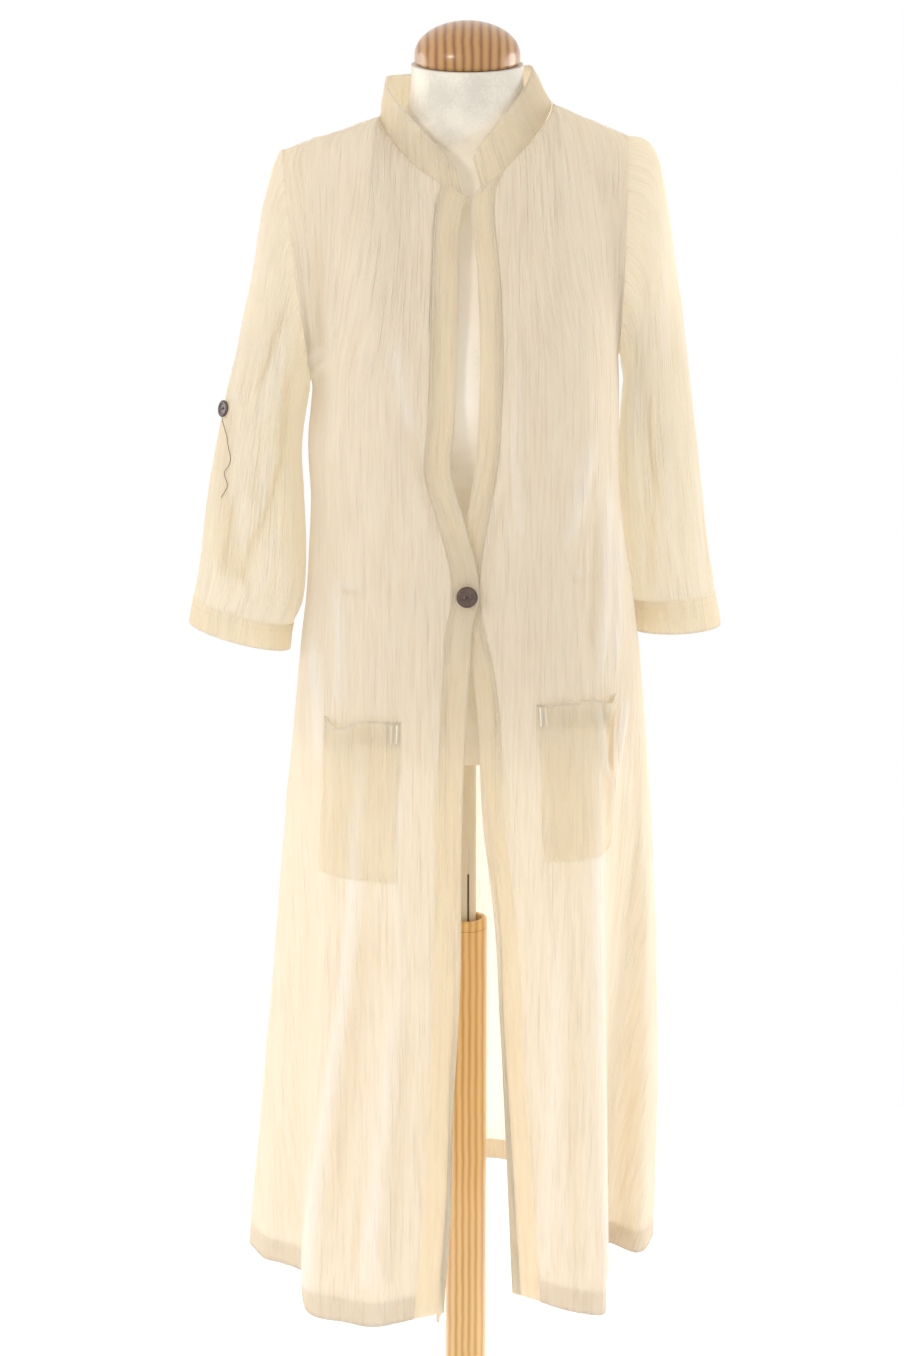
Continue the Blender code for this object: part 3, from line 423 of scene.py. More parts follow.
# materials
class nodes:  # a short way to add nodes to one material
    def __init__(self, name):
        self.made = bpy.data.materials.new(name)
        self.made.use_nodes = True
        self.tree = self.made.node_tree
        self.shader = self.tree.nodes["Principled BSDF"]
        self.output = self.tree.nodes["Material Output"]

    def fill(self, node, values):  # a socket is joined, and any other value is set
        for key, value in values.items():
            if isinstance(value, bpy.types.NodeSocket):
                self.tree.links.new(value, node.inputs[key])
            else:
                node.inputs[key].default_value = value
        return node

    def add(self, kind, values=(), **settings):
        node = self.tree.nodes.new(kind)
        for key, value in settings.items():
            setattr(node, key, value)
        return self.fill(node, dict(values))

    def place(self):
        return self.add("ShaderNodeTexCoord").outputs["Object"]

    def maths(self, operation, a, b, clamp=False):
        return self.add("ShaderNodeMath", {0: a, 1: b}, operation=operation, use_clamp=clamp).outputs[0]

    def sum(self, a, shareA, b, shareB):
        return self.maths("ADD", self.maths("MULTIPLY", a, shareA), self.maths("MULTIPLY", b, shareB))

    def scaled(self, source, size):
        return self.add("ShaderNodeMapping", {"Vector": source, "Scale": size}).outputs[0]

    def noise(self, source, scale, detail=2.0, rough=0.5, distortion=0.0):
        values = {"Vector": source, "Scale": scale, "Detail": detail, "Roughness": rough,
                  "Distortion": distortion}
        return self.add("ShaderNodeTexNoise", values).outputs["Fac"]

    def wave(self, source, axis, scale, distortion, detail, detailScale):
        values = {"Vector": source, "Scale": scale, "Distortion": distortion, "Detail": detail,
                  "Detail Scale": detailScale}
        return self.add("ShaderNodeTexWave", values, wave_type="BANDS", bands_direction=axis).outputs["Fac"]

    def ramp(self, source, stops):
        node = self.add("ShaderNodeValToRGB", {"Fac": source})
        while len(node.color_ramp.elements) < len(stops):
            node.color_ramp.elements.new(0.5)
        for element, (at, colour) in zip(node.color_ramp.elements, stops):
            element.position = at
            element.color = (*colour, 1.0)
        return node.outputs["Color"]

    def blend(self, share, a, b):
        return self.add("ShaderNodeMixRGB", {"Fac": share, "Color1": a, "Color2": (*b, 1.0)}).outputs["Color"]

    def bump(self, height, distance, strength=1.0, under=None):
        node = self.add("ShaderNodeBump", {"Height": height, "Distance": distance, "Strength": strength})
        if under:
            self.fill(node, {"Normal": under})
        return node.outputs["Normal"]


def cottonLook(name, colours, through, glows):  # colours run from a crinkle valley, painted shade, to its crest, painted highlight, along the bump's ripples
    m = nodes(name)
    weave = m.add("ShaderNodeUVMap", uv_map="cloth").outputs["UV"]
    pleats = m.wave(m.scaled(weave, (1.0, 0.07, 1.0)), "X", 62.0, distortion=11.0, detail=3.0,
                    detailScale=1.6)
    ripples = m.noise(m.scaled(weave, (420.0, 14.0, 1.0)), 1.0, distortion=0.25)
    warp = m.wave(weave, "X", 220.0, distortion=1.6, detail=2.0, detailScale=0.6)
    weft = m.wave(weave, "Y", 200.0, distortion=1.6, detail=2.0, detailScale=0.6)
    slub = m.noise(m.scaled(weave, (60.0, 700.0, 1.0)), 1.0)
    cloud = m.noise(m.scaled(weave, (26.0, 7.0, 1.0)), 1.0, detail=4.0, rough=0.6)
    # the tone follows the ripples of the bump: painted shade in crinkle valleys and painted highlight on
    # crinkle crests, with cloud adding random tone
    shade = m.sum(ripples, 0.7, cloud, 0.3)
    # crest is the crease height: painted highlight on crease crests and painted shade in crease valleys
    crest = m.add("ShaderNodeAttribute", attribute_name="crest").outputs["Fac"]
    paintedCrestLight = m.maths("MULTIPLY", crest, 0.75, True)
    paintedValleyShade = m.maths("MULTIPLY", crest, -0.6, True)

    # each tone is lightened toward light on crease crests, a painted highlight, and darkened toward dark in
    # crease valleys, a painted shade
    def toned(stops, light, dark):
        plain = m.ramp(shade, list(zip((0.34, 0.5, 0.66), stops)))
        return m.blend(paintedValleyShade, m.blend(paintedCrestLight, plain, light), dark)

    relief = m.bump(m.sum(pleats, 0.16, ripples, 0.84), 0.0018)
    relief = m.bump(slub, 0.0002, strength=0.4, under=relief)
    relief = m.bump(m.maths("MULTIPLY", warp, weft), 0.00012, strength=0.4, under=relief)
    # whitish painted highlight for crease crests and brown painted shade for crease valleys
    cloth = toned(colours, (0.97, 0.935, 0.88), (0.86, 0.765, 0.62))
    m.fill(m.shader, {"Base Color": cloth, "Normal": relief, "Roughness": 0.92, "Specular IOR Level": 0.2,
                      "Sheen Weight": 0.12, "Sheen Roughness": 0.5})
    # the light let through gets the same painted highlight and painted shade
    lit = toned(glows, (1.0, 0.98, 0.94), (0.95, 0.87, 0.73))
    glow = m.add("ShaderNodeBsdfTranslucent", {"Color": lit, "Normal": relief}).outputs["BSDF"]
    both = m.add("ShaderNodeMixShader", {"Fac": through, 1: m.shader.outputs["BSDF"], 2: glow})
    m.fill(m.output, {"Surface": both.outputs["Shader"]})
    return m.made


def pineLook(name, light, dark, pitch, coat):
    m = nodes(name)
    place = m.place()
    grain = m.wave(place, "X", pitch, distortion=1.1, detail=2.0, detailScale=0.7)
    fibre = m.noise(m.scaled(place, (300.0, 300.0, 12.0)), 1.0, detail=4.0, rough=0.6)
    middle = tuple(mix(a, b, 0.35) for a, b in zip(light, dark))
    tone = m.ramp(m.sum(grain, 0.7, fibre, 0.3), [(0.15, light), (0.55, middle), (0.88, dark)])
    m.fill(m.shader, {"Base Color": tone, "Roughness": 0.38, "Coat Weight": coat, "Coat Roughness": 0.16,
                      "Normal": m.bump(fibre, 0.0002, 0.4)})
    return m.made


def plainLook(name, light, dark, scale, rough, stretch=(1.0, 1.0, 1.0), depth=0.0002, strength=0.5):
    m = nodes(name)
    spots = m.noise(m.scaled(m.place(), stretch), scale, detail=4.0, rough=0.6)
    m.fill(m.shader, {"Base Color": m.ramp(spots, [(0.32, dark), (0.68, light)]), "Roughness": rough,
                      "Normal": m.bump(spots, depth, strength)})
    return m.made


def jerseyLook(name, light, dark):
    m = nodes(name)
    place = m.place()
    fuzz = m.noise(place, 420.0, detail=3.0, rough=0.6)
    cloud = m.noise(place, 18.0, detail=3.0)
    height = m.add("ShaderNodeSeparateXYZ", {"Vector": place}).outputs["Z"]
    paintedNeckShade = m.maths("MULTIPLY", m.maths("SUBTRACT", height, 1.4, True), 2.6, True)  # painted shade, greyer towards the neck
    shade = m.maths("SUBTRACT", m.sum(fuzz, 0.2, cloud, 0.8), paintedNeckShade)
    paintedShadeGrey = tuple(0.75 * part for part in dark)
    tone = m.ramp(shade, [(0.18, paintedShadeGrey), (0.38, dark), (0.62, light)])
    m.fill(m.shader, {"Base Color": tone, "Roughness": 0.95, "Specular IOR Level": 0.2, "Sheen Weight": 0.15,
                      "Normal": m.bump(fuzz, 0.0003, 0.5)})
    return m.made


looks = {  # cotton: tones from a crinkle valley (painted shade) to its crest (painted highlight), the share of light let through, and the tones of that light
    "cotton": cottonLook("ecruCrinkledCotton",
                         [(0.895, 0.81, 0.675), (0.935, 0.865, 0.74), (0.95, 0.885, 0.77)], 0.55,
                         [(0.98, 0.91, 0.8), (0.995, 0.945, 0.855), (1.0, 0.955, 0.88)]),
    # a lighter copy of the same cotton for the sleeves and the back: painted glow standing in for the
    # backlight through them
    "sleeve": cottonLook("sleeveCottonPaintedGlow",
                         [(0.925, 0.865, 0.755), (0.96, 0.91, 0.81), (0.97, 0.925, 0.835)], 0.78,
                         [(0.99, 0.94, 0.85), (1.0, 0.972, 0.91), (1.0, 0.98, 0.925)]),
    # the same cotton painted lighter for the doubled bands, collar, cuffs and tabs: painted light
    "double": cottonLook("doubledCottonPaintedLighter",
                         [(0.92, 0.855, 0.735), (0.95, 0.895, 0.785), (0.96, 0.905, 0.805)], 0.78,
                         [(0.99, 0.94, 0.85), (1.0, 0.966, 0.895), (1.0, 0.975, 0.91)]),
    # the same cotton painted lighter still for the pockets: painted light
    "pocket": cottonLook("pocketCottonPaintedLighter",
                         [(0.935, 0.875, 0.77), (0.965, 0.915, 0.815), (0.97, 0.925, 0.83)], 0.84,
                         [(0.995, 0.955, 0.88), (1.0, 0.978, 0.925), (1.0, 0.985, 0.94)]),
    # the same cotton painted darker for the turned-up hems: painted shade
    "hem": cottonLook("turnedHemCottonPaintedShade",
                      [(0.88, 0.785, 0.64), (0.92, 0.835, 0.695), (0.93, 0.85, 0.72)], 0.5,
                      [(0.95, 0.865, 0.72), (0.97, 0.9, 0.78), (0.98, 0.915, 0.8)]),
    "thread": plainLook("ecruThread", (0.95, 0.88, 0.76), (0.89, 0.81, 0.67), 900.0, 0.8),
    "darkThread": plainLook("darkThread", (0.1, 0.08, 0.07), (0.05, 0.04, 0.035), 900.0, 0.7),
    "brownButton": plainLook("brownShellButton", (0.135, 0.085, 0.062), (0.065, 0.04, 0.03), 130.0, 0.42,
                             (1, 1, 4)),
    "darkButton": plainLook("darkButton", (0.12, 0.09, 0.075), (0.06, 0.045, 0.04), 160.0, 0.35, (1, 1, 4)),
    "jersey": jerseyLook("offWhiteJersey", (0.95, 0.89, 0.79), (0.9, 0.835, 0.72)),
    "capPine": pineLook("stripedPine", (0.51, 0.27, 0.09), (0.25, 0.1, 0.028), 38.0, 0.5),
    "postPine": pineLook("postPine", (0.83, 0.56, 0.25), (0.62, 0.33, 0.1), 46.0, 0.2),
    "tube": plainLook("creamTube", (0.74, 0.67, 0.55), (0.66, 0.59, 0.46), 60.0, 0.22, (1, 1, 0.1),
                      0.0001, 0.2),
    "slotShade": plainLook("slotShade", (0.13, 0.1, 0.08), (0.09, 0.07, 0.05), 200.0, 0.8),
}
print("materials ready")


# turned pieces of the form and stand
def finished(name, bm, look, body, sharp=35):
    for face in bm.faces:
        face.smooth = True
    for edge in bm.edges:
        if len(edge.link_faces) == 2 and edge.calc_face_angle(0.0) > math.radians(sharp):
            edge.smooth = False
    made = meshFrom(name, bm)
    made.data.materials.append(look)
    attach(made, body)
    return made


def turnedPiece(name, profile, look, steps, place=Matrix(), body="stand", sharp=35):
    bm = bmesh.new()
    ring = [bm.verts.new((r, 0, z)) for r, z in profile]
    edges = [bm.edges.new(pair) for pair in zip(ring, ring[1:])]
    bmesh.ops.spin(bm, geom=ring + edges, cent=(0, 0, 0), axis=(0, 0, 1), angle=2 * math.pi, steps=steps,
                   use_merge=True)
    bmesh.ops.remove_doubles(bm, verts=bm.verts, dist=touching)
    bmesh.ops.recalc_face_normals(bm, faces=bm.faces)
    bmesh.ops.transform(bm, matrix=place, verts=bm.verts)
    return finished(name, bm, look, body, sharp)


torsoRings = sizes("z half front back power tilt", [
    (0.853, 0.154, 0.1, 0.116, 2.3, 0.0), (0.89, 0.156, 0.104, 0.12, 2.3, 0.0),
    (0.95, 0.149, 0.102, 0.108, 2.3, 0.0), (1.01, 0.132, 0.093, 0.09, 2.3, 0.0),
    (1.06, 0.12, 0.088, 0.08, 2.3, 0.0), (1.11, 0.124, 0.096, 0.083, 2.3, 0.0),
    (1.16, 0.133, 0.114, 0.091, 2.3, 0.0), (1.205, 0.1385, 0.123, 0.096, 2.3, 0.0),
    (1.24, 0.14, 0.118, 0.098, 2.3, 0.0), (1.27, 0.1455, 0.108, 0.0985, 2.3, 0.0),
    (1.3, 0.153, 0.097, 0.098, 2.3, 0.0), (1.34, 0.161, 0.082, 0.092, 2.3, 0.0),
    (1.38, 0.167, 0.064, 0.078, 2.2, 0.02), (1.405, 0.169, 0.048, 0.064, 2.1, 0.04),
    (1.42, 0.16, 0.04, 0.056, 2.0, 0.06), (1.432, 0.1336, 0.04, 0.0562, 2.0, 0.09),
    (1.443, 0.1056, 0.044, 0.0582, 2.0, 0.12), (1.453, 0.078, 0.048, 0.06, 2.0, 0.16),
    (1.464, 0.0625, 0.052, 0.059, 2.0, 0.2), (1.485, 0.0545, 0.055, 0.052, 2.0, 0.21),
    (1.5115, 0.053, 0.0565, 0.0495, 2.0, 0.2035),
])
torsoMesh = {"sides": 96, "rings": 107, "edgeRings": 7}
stump = {"reach": 0.173, "bottom": {right: 1.24, left: 1.258}, "edge": 0.008, "gap": 0.009,
         "topFade": (1.36, 1.41)}


def stumpReach(side, half, y, z):  # the arm stumps stand out inside the armholes and end flat below
    ring = armhole[side]
    middle, tall = (ring["outerZ"] + ring["innerZ"]) / 2, (ring["outerZ"] - ring["innerZ"]) / 2
    depth = ring["depth"] * math.sqrt(max(0.0, 1 - ((z - middle) / tall) ** 2)) - stump["gap"]
    if depth <= 0 or half >= stump["reach"]:
        return 0.0
    low = stump["bottom"][side]
    share = float(fade(z, low, low + stump["edge"]) * (1 - fade(z, *stump["topFade"])))
    return (stump["reach"] - half) * share * max(0.0, 1 - ((y - ring["midY"]) / depth) ** 2)


def makeTorso():
    low, high = torsoRings["rows"][0, 0], torsoRings["rows"][-1, 0]
    edges = [np.linspace(z, z + stump["edge"], torsoMesh["edgeRings"]) for z in stump["bottom"].values()]
    heights = np.sort(np.concatenate([np.linspace(low, high, torsoMesh["rings"]), *edges]))
    rings = len(heights) - 1
    bm = bmesh.new()
    bmesh.ops.create_cone(bm, cap_ends=True, segments=torsoMesh["sides"], radius1=1, radius2=1, depth=1)
    wall = [edge for edge in bm.edges if abs(edge.verts[0].co.z - edge.verts[1].co.z) > 0.5]
    bmesh.ops.subdivide_edges(bm, edges=wall, cuts=rings - 1, use_grid_fill=True)
    for vert in bm.verts:
        z = heights[round((vert.co.z + 0.5) * rings)]
        size = {name: float(read(torsoRings, z, name)) for name in torsoRings["columns"]}
        turn = math.atan2(vert.co.x, -vert.co.y)
        wide, deep = math.sin(turn), math.cos(turn)
        curve = 2 / size["power"]
        middle = (size["back"] - size["front"]) / 2
        y = middle - (size["back"] + size["front"]) / 2 * math.copysign(abs(deep) ** curve, deep)
        x = size["half"] * math.copysign(abs(wide) ** curve, wide)
        if abs(wide) > 0.5:
            side = left if wide > 0 else right
            x += side * stumpReach(side, size["half"], y, z)
        vert.co = Vector((x, y, z + size["tilt"] * (y - middle)))
    bmesh.ops.recalc_face_normals(bm, faces=bm.faces)
    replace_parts(finished("jerseyTorso", bm, looks["jersey"], "form", 50), "torso")


neckCap = {"radius": 0.05, "side": 0.008, "dome": 0.031, "tilt": 11.5, "at": (0.0, -0.0035, 1.5122)}
formPole = {"radius": 0.01, "top": 0.8527, "bottom": 0.368, "slotTop": 0.716, "slotX": (0.0014, 0.0026),
            "slotDeep": 0.0012}
pinePost = {"radius": 0.0212, "top": 0.668, "mouth": 0.0155, "mouthDeep": 0.014, "bore": 0.0103,
            "boreBottom": 0.15, "grooveDrop": 0.01}
roundBase = {"radius": 0.2, "height": 0.028, "round": 0.008}


def makeCap():
    r, side = neckCap["radius"], neckCap["side"]
    turns = [math.pi / 2 * k / 22 for k in range(23)]
    dome = [(r * math.sin(a), side + neckCap["dome"] * math.cos(a)) for a in turns]
    dome += [(r, side * 0.4), (r - 0.0006, 0.001), (r - 0.0018, 0), (0, 0)]
    tilt = Matrix.Translation(neckCap["at"]) @ Matrix.Rotation(math.radians(neckCap["tilt"]), 4, "X")
    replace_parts(turnedPiece("neckCap", dome, looks["capPine"], 72, tilt, "form"), "neck_cap")


def makePole():
    r, top, low, slotTop = (formPole[key] for key in ("radius", "top", "bottom", "slotTop"))
    tube = [(0, top), (r, top), (r, slotTop), (r, low + 0.001), (r - 0.001, low), (0, low)]
    pole = turnedPiece("formPole", tube, looks["tube"], 60, body="form")
    pole.data.materials.append(looks["slotShade"])
    near, far = formPole["slotX"]

    def inSlot(face):
        middle = face.calc_center_median()
        return face.normal.y < -0.9 and low + 0.01 < middle.z < slotTop and near < middle.x < far

    bm = bmesh.new()
    bm.from_mesh(pole.data)
    slot = [face for face in bm.faces if inSlot(face)]
    bmesh.ops.inset_region(bm, faces=slot, thickness=0.0001, depth=-formPole["slotDeep"])
    for face in slot:
        face.material_index = 1
    bm.to_mesh(pole.data)
    bm.free()
    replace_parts(pole, "pole")


def makePost():
    r, top, mouth, bore, low = (pinePost[key] for key in ("radius", "top", "mouth", "bore", "boreBottom"))
    foot = roundBase["height"] + 0.0003
    ledge, groove = top - pinePost["mouthDeep"], top - pinePost["grooveDrop"]
    rim = [(0, low), (bore, low), (bore, ledge), (mouth, ledge), (mouth, top - 0.0012),
           (mouth + 0.0004, top - 0.0003), (mouth + 0.0011, top), (r - 0.0018, top),
           (r - 0.0006, top - 0.0006), (r, top - 0.0018), (r, groove + 0.0007),
           (r - 0.0007, groove + 0.0002), (r - 0.0007, groove - 0.0002), (r, groove - 0.0007)]
    rim += [(r, z) for z in np.linspace(groove - 0.01, foot + 0.02, 8)] + [(r, foot), (0, foot)]
    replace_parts(turnedPiece("pinePost", rim, looks["postPine"], 72), "post")


def makeBase():
    big, high, soft = roundBase["radius"], roundBase["height"], roundBase["round"]
    turns = np.linspace(0.2, math.pi / 2, 7)
    disc = [(0, high), (0.03, high), (big - soft - 0.02, high), (big - soft, high)]
    disc += [(big - soft + soft * math.sin(a), high - soft * (1 - math.cos(a))) for a in turns]
    disc += [(big, 0.003), (big - 0.0008, 0.0009), (big - 0.003, 0), (0, 0)]
    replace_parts(turnedPiece("roundBase", disc, looks["postPine"], 120), "base")


makeTorso()
makeCap()
makePole()
makePost()
makeBase()
print("form and stand made")


# stitches: short threads laid along a line of points on the cloth
stitch = {"pitch": 0.003, "long": 0.0021, "wide": 0.00032, "high": 0.0002, "above": 0.0009}
probe = 0.001  # the step that finds a line's directions
bartack = {**stitch, "pitch": 0.0011, "long": 0.0014, "wide": 0.0016}


def sewLine(bm, onFace, u, v, lift, size=stitch):
    u, v = np.broadcast_arrays(u, v)
    out = lift + size["above"]
    line = onFace(u, v, np.full(u.shape, out))
    upLine = onFace(u, v, np.full(u.shape, out + probe)) - line
    run = np.concatenate([[0.0], np.cumsum(np.linalg.norm(np.diff(line, axis=0), axis=1))])
    at = np.arange(size["pitch"] / 2, run[-1], size["pitch"])

    def along(places, spots):
        return np.stack([np.interp(spots, run, places[:, k]) for k in range(3)], axis=1)

    ways = along(line, at + probe / 2) - along(line, at - probe / 2)
    for spot, way, up in zip(along(line, at), ways, along(upLine, at)):
        ahead = Vector(way).normalized()
        aside = Vector(up).normalized().cross(ahead).normalized()
        turn = Matrix((ahead, aside, ahead.cross(aside))).transposed().to_4x4()
        shape = Matrix.Diagonal((size["long"], size["wide"], size["high"], 1.0))
        bmesh.ops.create_cube(bm, size=1.0, matrix=Matrix.Translation(Vector(spot)) @ turn @ shape)


def sewn(name, bm, look=looks["thread"]):
    return finished(name, bm, look, "form", 200)


# creases, as (x, z) seen from the front
def crease(height, width, *line, **more):
    return {"height": height, "width": width, "line": line, **more}


frontCreases = {
    right: [
        crease(0.0036, 0.007, (-0.156, 0.33), (-0.1539, 0.378), (-0.1325, 0.535), (-0.1173, 0.635),
               (-0.1072, 0.732), (-0.1052, 0.77), (-0.1, 0.848), (-0.109, 0.924), rise=0.02),
        crease(-0.0022, 0.01, (-0.139, 0.345), (-0.119, 0.52), (-0.101, 0.66), (-0.092, 0.76)),
        crease(0.003, 0.006, (-0.1491, 0.985), (-0.1438, 0.914), (-0.1403, 0.84)),
        crease(0.0024, 0.0055, (-0.1252, 1.045), (-0.12, 0.977), (-0.1234, 0.9)),
        crease(-0.002, 0.0026, (-0.124, 1.0195), (-0.112, 1.0235), (-0.094, 1.0262), rise=0.1, fall=0.1),
        crease(0.0016, 0.0032, (-0.124, 1.025), (-0.11, 1.029), (-0.094, 1.031), rise=0.1, fall=0.1),
        crease(-0.0022, 0.007, (-0.142, 1.37), (-0.1394, 1.25), (-0.1404, 1.15)),
        crease(0.003, 0.004, (-0.134, 1.252), (-0.1417, 1.2449), (-0.156, 1.225), fall=0.05),
        crease(0.0026, 0.0036, (-0.13, 1.24), (-0.14, 1.2317), (-0.155, 1.21), fall=0.05),
        crease(0.002, 0.006, (-0.07, 1.27), (-0.0666, 1.2524), (-0.0577, 1.2068), (-0.046, 1.165)),
        crease(-0.0014, 0.005, (-0.056, 1.185), (-0.042, 1.13), (-0.026, 1.07)),
        crease(0.0022, 0.008, (-0.0638, 0.69), (-0.0787, 0.543), (-0.0919, 0.44), (-0.0994, 0.345),
               fall=0.05),
        crease(-0.0016, 0.006, (-0.052, 0.64), (-0.064, 0.5), (-0.072, 0.35), fall=0.05),
        crease(0.0016, 0.004, (-0.084, 0.47), (-0.09, 0.4), (-0.086, 0.345)),
        crease(-0.0016, 0.004, (-0.101, 0.45), (-0.106, 0.395), (-0.112, 0.35)),
        crease(0.0015, 0.0045, (-0.06, 0.88), (-0.068, 0.76), (-0.062, 0.64)),
    ],
    left: [
        crease(0.0034, 0.007, (0.139, 0.34), (0.1375, 0.388), (0.1323, 0.53), (0.1283, 0.631), (0.1254, 0.73),
               (0.1249, 0.788), (0.124, 0.85), (0.1225, 0.92), rise=0.02),
        crease(0.003, 0.0036, (0.1215, 0.918), (0.1291, 0.8561), (0.144, 0.826), rise=0.08),
        crease(0.003, 0.0036, (0.1532, 0.914), (0.1485, 0.8609), (0.134, 0.795), rise=0.08),
        crease(-0.0024, 0.005, (0.138, 0.912), (0.1385, 0.87), (0.133, 0.83)),
        crease(-0.002, 0.0026, (0.097, 1.036), (0.112, 1.0385), (0.127, 1.0379), rise=0.1, fall=0.1),
        crease(0.0015, 0.0032, (0.097, 1.041), (0.112, 1.0435), (0.127, 1.043), rise=0.1, fall=0.1),
        crease(0.0022, 0.0065, (0.1135, 1.18), (0.1135, 1.1597), (0.1003, 1.0942), (0.0867, 1.0565)),
        crease(0.0026, 0.0055, (0.1332, 1.15), (0.1314, 1.0131), (0.1238, 0.9198)),
        crease(0.0024, 0.005, (0.144, 1.11), (0.1436, 1.0113), (0.1393, 0.9252)),
        crease(-0.0018, 0.006, (0.12, 1.12), (0.121, 1.02), (0.114, 0.93)),
        crease(-0.0016, 0.005, (0.036, 1.13), (0.024, 1.07), (0.02, 1.033)),
        crease(0.0014, 0.005, (0.048, 1.26), (0.044, 1.15), (0.056, 1.05)),
        crease(0.002, 0.008, (0.088, 0.7365), (0.0856, 0.5857), (0.0793, 0.4305), (0.078, 0.345), fall=0.05),
        crease(-0.0016, 0.006, (0.106, 0.7), (0.104, 0.54), (0.106, 0.35), fall=0.05),
        crease(0.0016, 0.004, (0.09, 0.45), (0.095, 0.41), (0.1, 0.37)),
    ],
}
backCreases = [
    crease(0.003, 0.01, (-0.098, 1.12), (-0.09, 0.9), (-0.09, 0.6), (-0.092, 0.34), fall=0.03),
    crease(0.003, 0.01, (0.024, 1.1), (0.027, 0.9), (0.029, 0.6), (0.03, 0.34), fall=0.03),
    crease(0.0024, 0.009, (0.108, 1.14), (0.118, 0.95), (0.126, 0.7)),
    crease(-0.0026, 0.011, (-0.04, 1.2), (-0.038, 1.0), (-0.035, 0.8)),
    crease(0.0024, 0.007, (-0.11, 1.3), (-0.06, 1.19), (-0.02, 1.12)),
    crease(0.0024, 0.007, (0.108, 1.31), (0.064, 1.2), (0.028, 1.12)),
]
sleeveCreases = {
    right: [
        crease(-0.0026, 0.0042, (-0.1745, 1.165), (-0.1759, 1.1495), (-0.1913, 1.096), (-0.2117, 1.042)),
        crease(0.0022, 0.0044, (-0.185, 1.16), (-0.202, 1.1), (-0.219, 1.05)),
        crease(-0.0022, 0.0036, (-0.1977, 1.1313), (-0.2084, 1.073), (-0.2182, 1.014)),
        crease(0.0022, 0.005, (-0.187, 1.405), (-0.1949, 1.34), (-0.1957, 1.293)),
        crease(-0.0024, 0.0042, (-0.1737, 1.293), (-0.1869, 1.245), (-0.2041, 1.198)),
        crease(0.0024, 0.0044, (-0.17, 1.262), (-0.183, 1.222), (-0.199, 1.17)),
        crease(-0.0024, 0.004, (-0.1698, 1.236), (-0.1724, 1.188), (-0.1809, 1.14)),
        crease(0.0018, 0.004, (-0.212, 1.3), (-0.217, 1.23), (-0.225, 1.18)),
        crease(-0.0018, 0.0036, (-0.224, 1.11), (-0.233, 1.06), (-0.236, 1.02)),
        crease(0.0018, 0.0036, (-0.181, 1.085), (-0.195, 1.03), (-0.206, 1.0)),
    ],
    left: [
        crease(0.0024, 0.005, (0.18, 1.39), (0.1844, 1.358), (0.1876, 1.292), (0.191, 1.215)),
        crease(-0.0022, 0.004, (0.2347, 1.094), (0.2406, 1.054), (0.2456, 1.014)),
        crease(0.0026, 0.005, (0.1645, 1.224), (0.1635, 1.166), (0.1717, 1.076)),
        crease(0.002, 0.0042, (0.2045, 1.311), (0.2127, 1.243), (0.2205, 1.199)),
        crease(-0.0022, 0.004, (0.176, 1.22), (0.18, 1.15), (0.19, 1.08)),
        crease(0.0018, 0.0036, (0.196, 1.13), (0.203, 1.07), (0.212, 1.01)),
        crease(0.0022, 0.0038, (0.224, 1.13), (0.23, 1.08), (0.235, 1.02)),
        crease(-0.0018, 0.0036, (0.185, 1.1), (0.183, 1.05), (0.186, 1.0)),
    ],
}


panel = {"acrossX": 1.15, "acrossY": 0.4, "bandCalm": 0.45, "seamWide": 0.02, "seamDeep": 0.0002,
         "holeWide": 0.014, "holeDeep": 0.0003}


def panelCrinkle(places, seed):
    across = places[..., 0] * panel["acrossX"] + places[..., 1] * panel["acrossY"]
    return crinkleAt(across, places[..., 2], seed)


def frontRelief(side):
    def relief(places, u, v):
        flat = panelCrinkle(places, seeds["front"] + side) * mix(panel["bandCalm"], 1.0, fade(u, -0.02, 0.03))
        seam = np.exp(-(u / panel["seamWide"]) ** 2) * -panel["seamDeep"]
        hole = np.exp(-((1 - u) / panel["holeWide"]) ** 2) * -panel["holeDeep"] * fade(v, 2.0, 2.15)
        return flat + seam + hole
    return relief


def frontPress(side):
    return lambda places, u, v: creaseAt(places, frontCreases[side]) * fade(u, -0.1, 0.03)


def forward(places):
    return np.broadcast_to(np.array((0.0, -1.0, 0.0)), places.shape)


def backward(places):
    return np.broadcast_to(np.array((0.0, 1.0, 0.0)), places.shape)


rowCounts = {"front": (118, 52, 60), "band": (150, 64, 60), "back": (100, 44, 52)}  # to hip, underarm and top


def rowLevels(piece):
    low, body, yoke = rowCounts[piece]
    return runs((0, 1, low), (1, 2, body), (2, 3, yoke))


def turnedHem(side, levels):  # rows that turn up inside before the hem, with the lift of every row
    inner, turn, count = cotton["inner"], cotton["turn"], cotton["hemRows"]
    rows = np.concatenate([np.linspace(levelOf(side, hemZ + cotton["hem"]), 0, count), levels])
    lifts = np.concatenate([np.full(count, inner - turn), np.full(len(levels), inner)])
    lifts[count - 1] = inner - turn * 0.8
    return rows, lifts[:, None]


def sewHem(sew, onPanel, side, run):
    sewLine(sew, onPanel, run, levelOf(side, hemZ + cotton["hem"] - 0.002), cotton["inner"])


band = {"outer": (-0.003, -1.0, 13), "inner": (-1.0, 0.01, 11), "innerLift": -0.0007, "stitchU": -0.1}


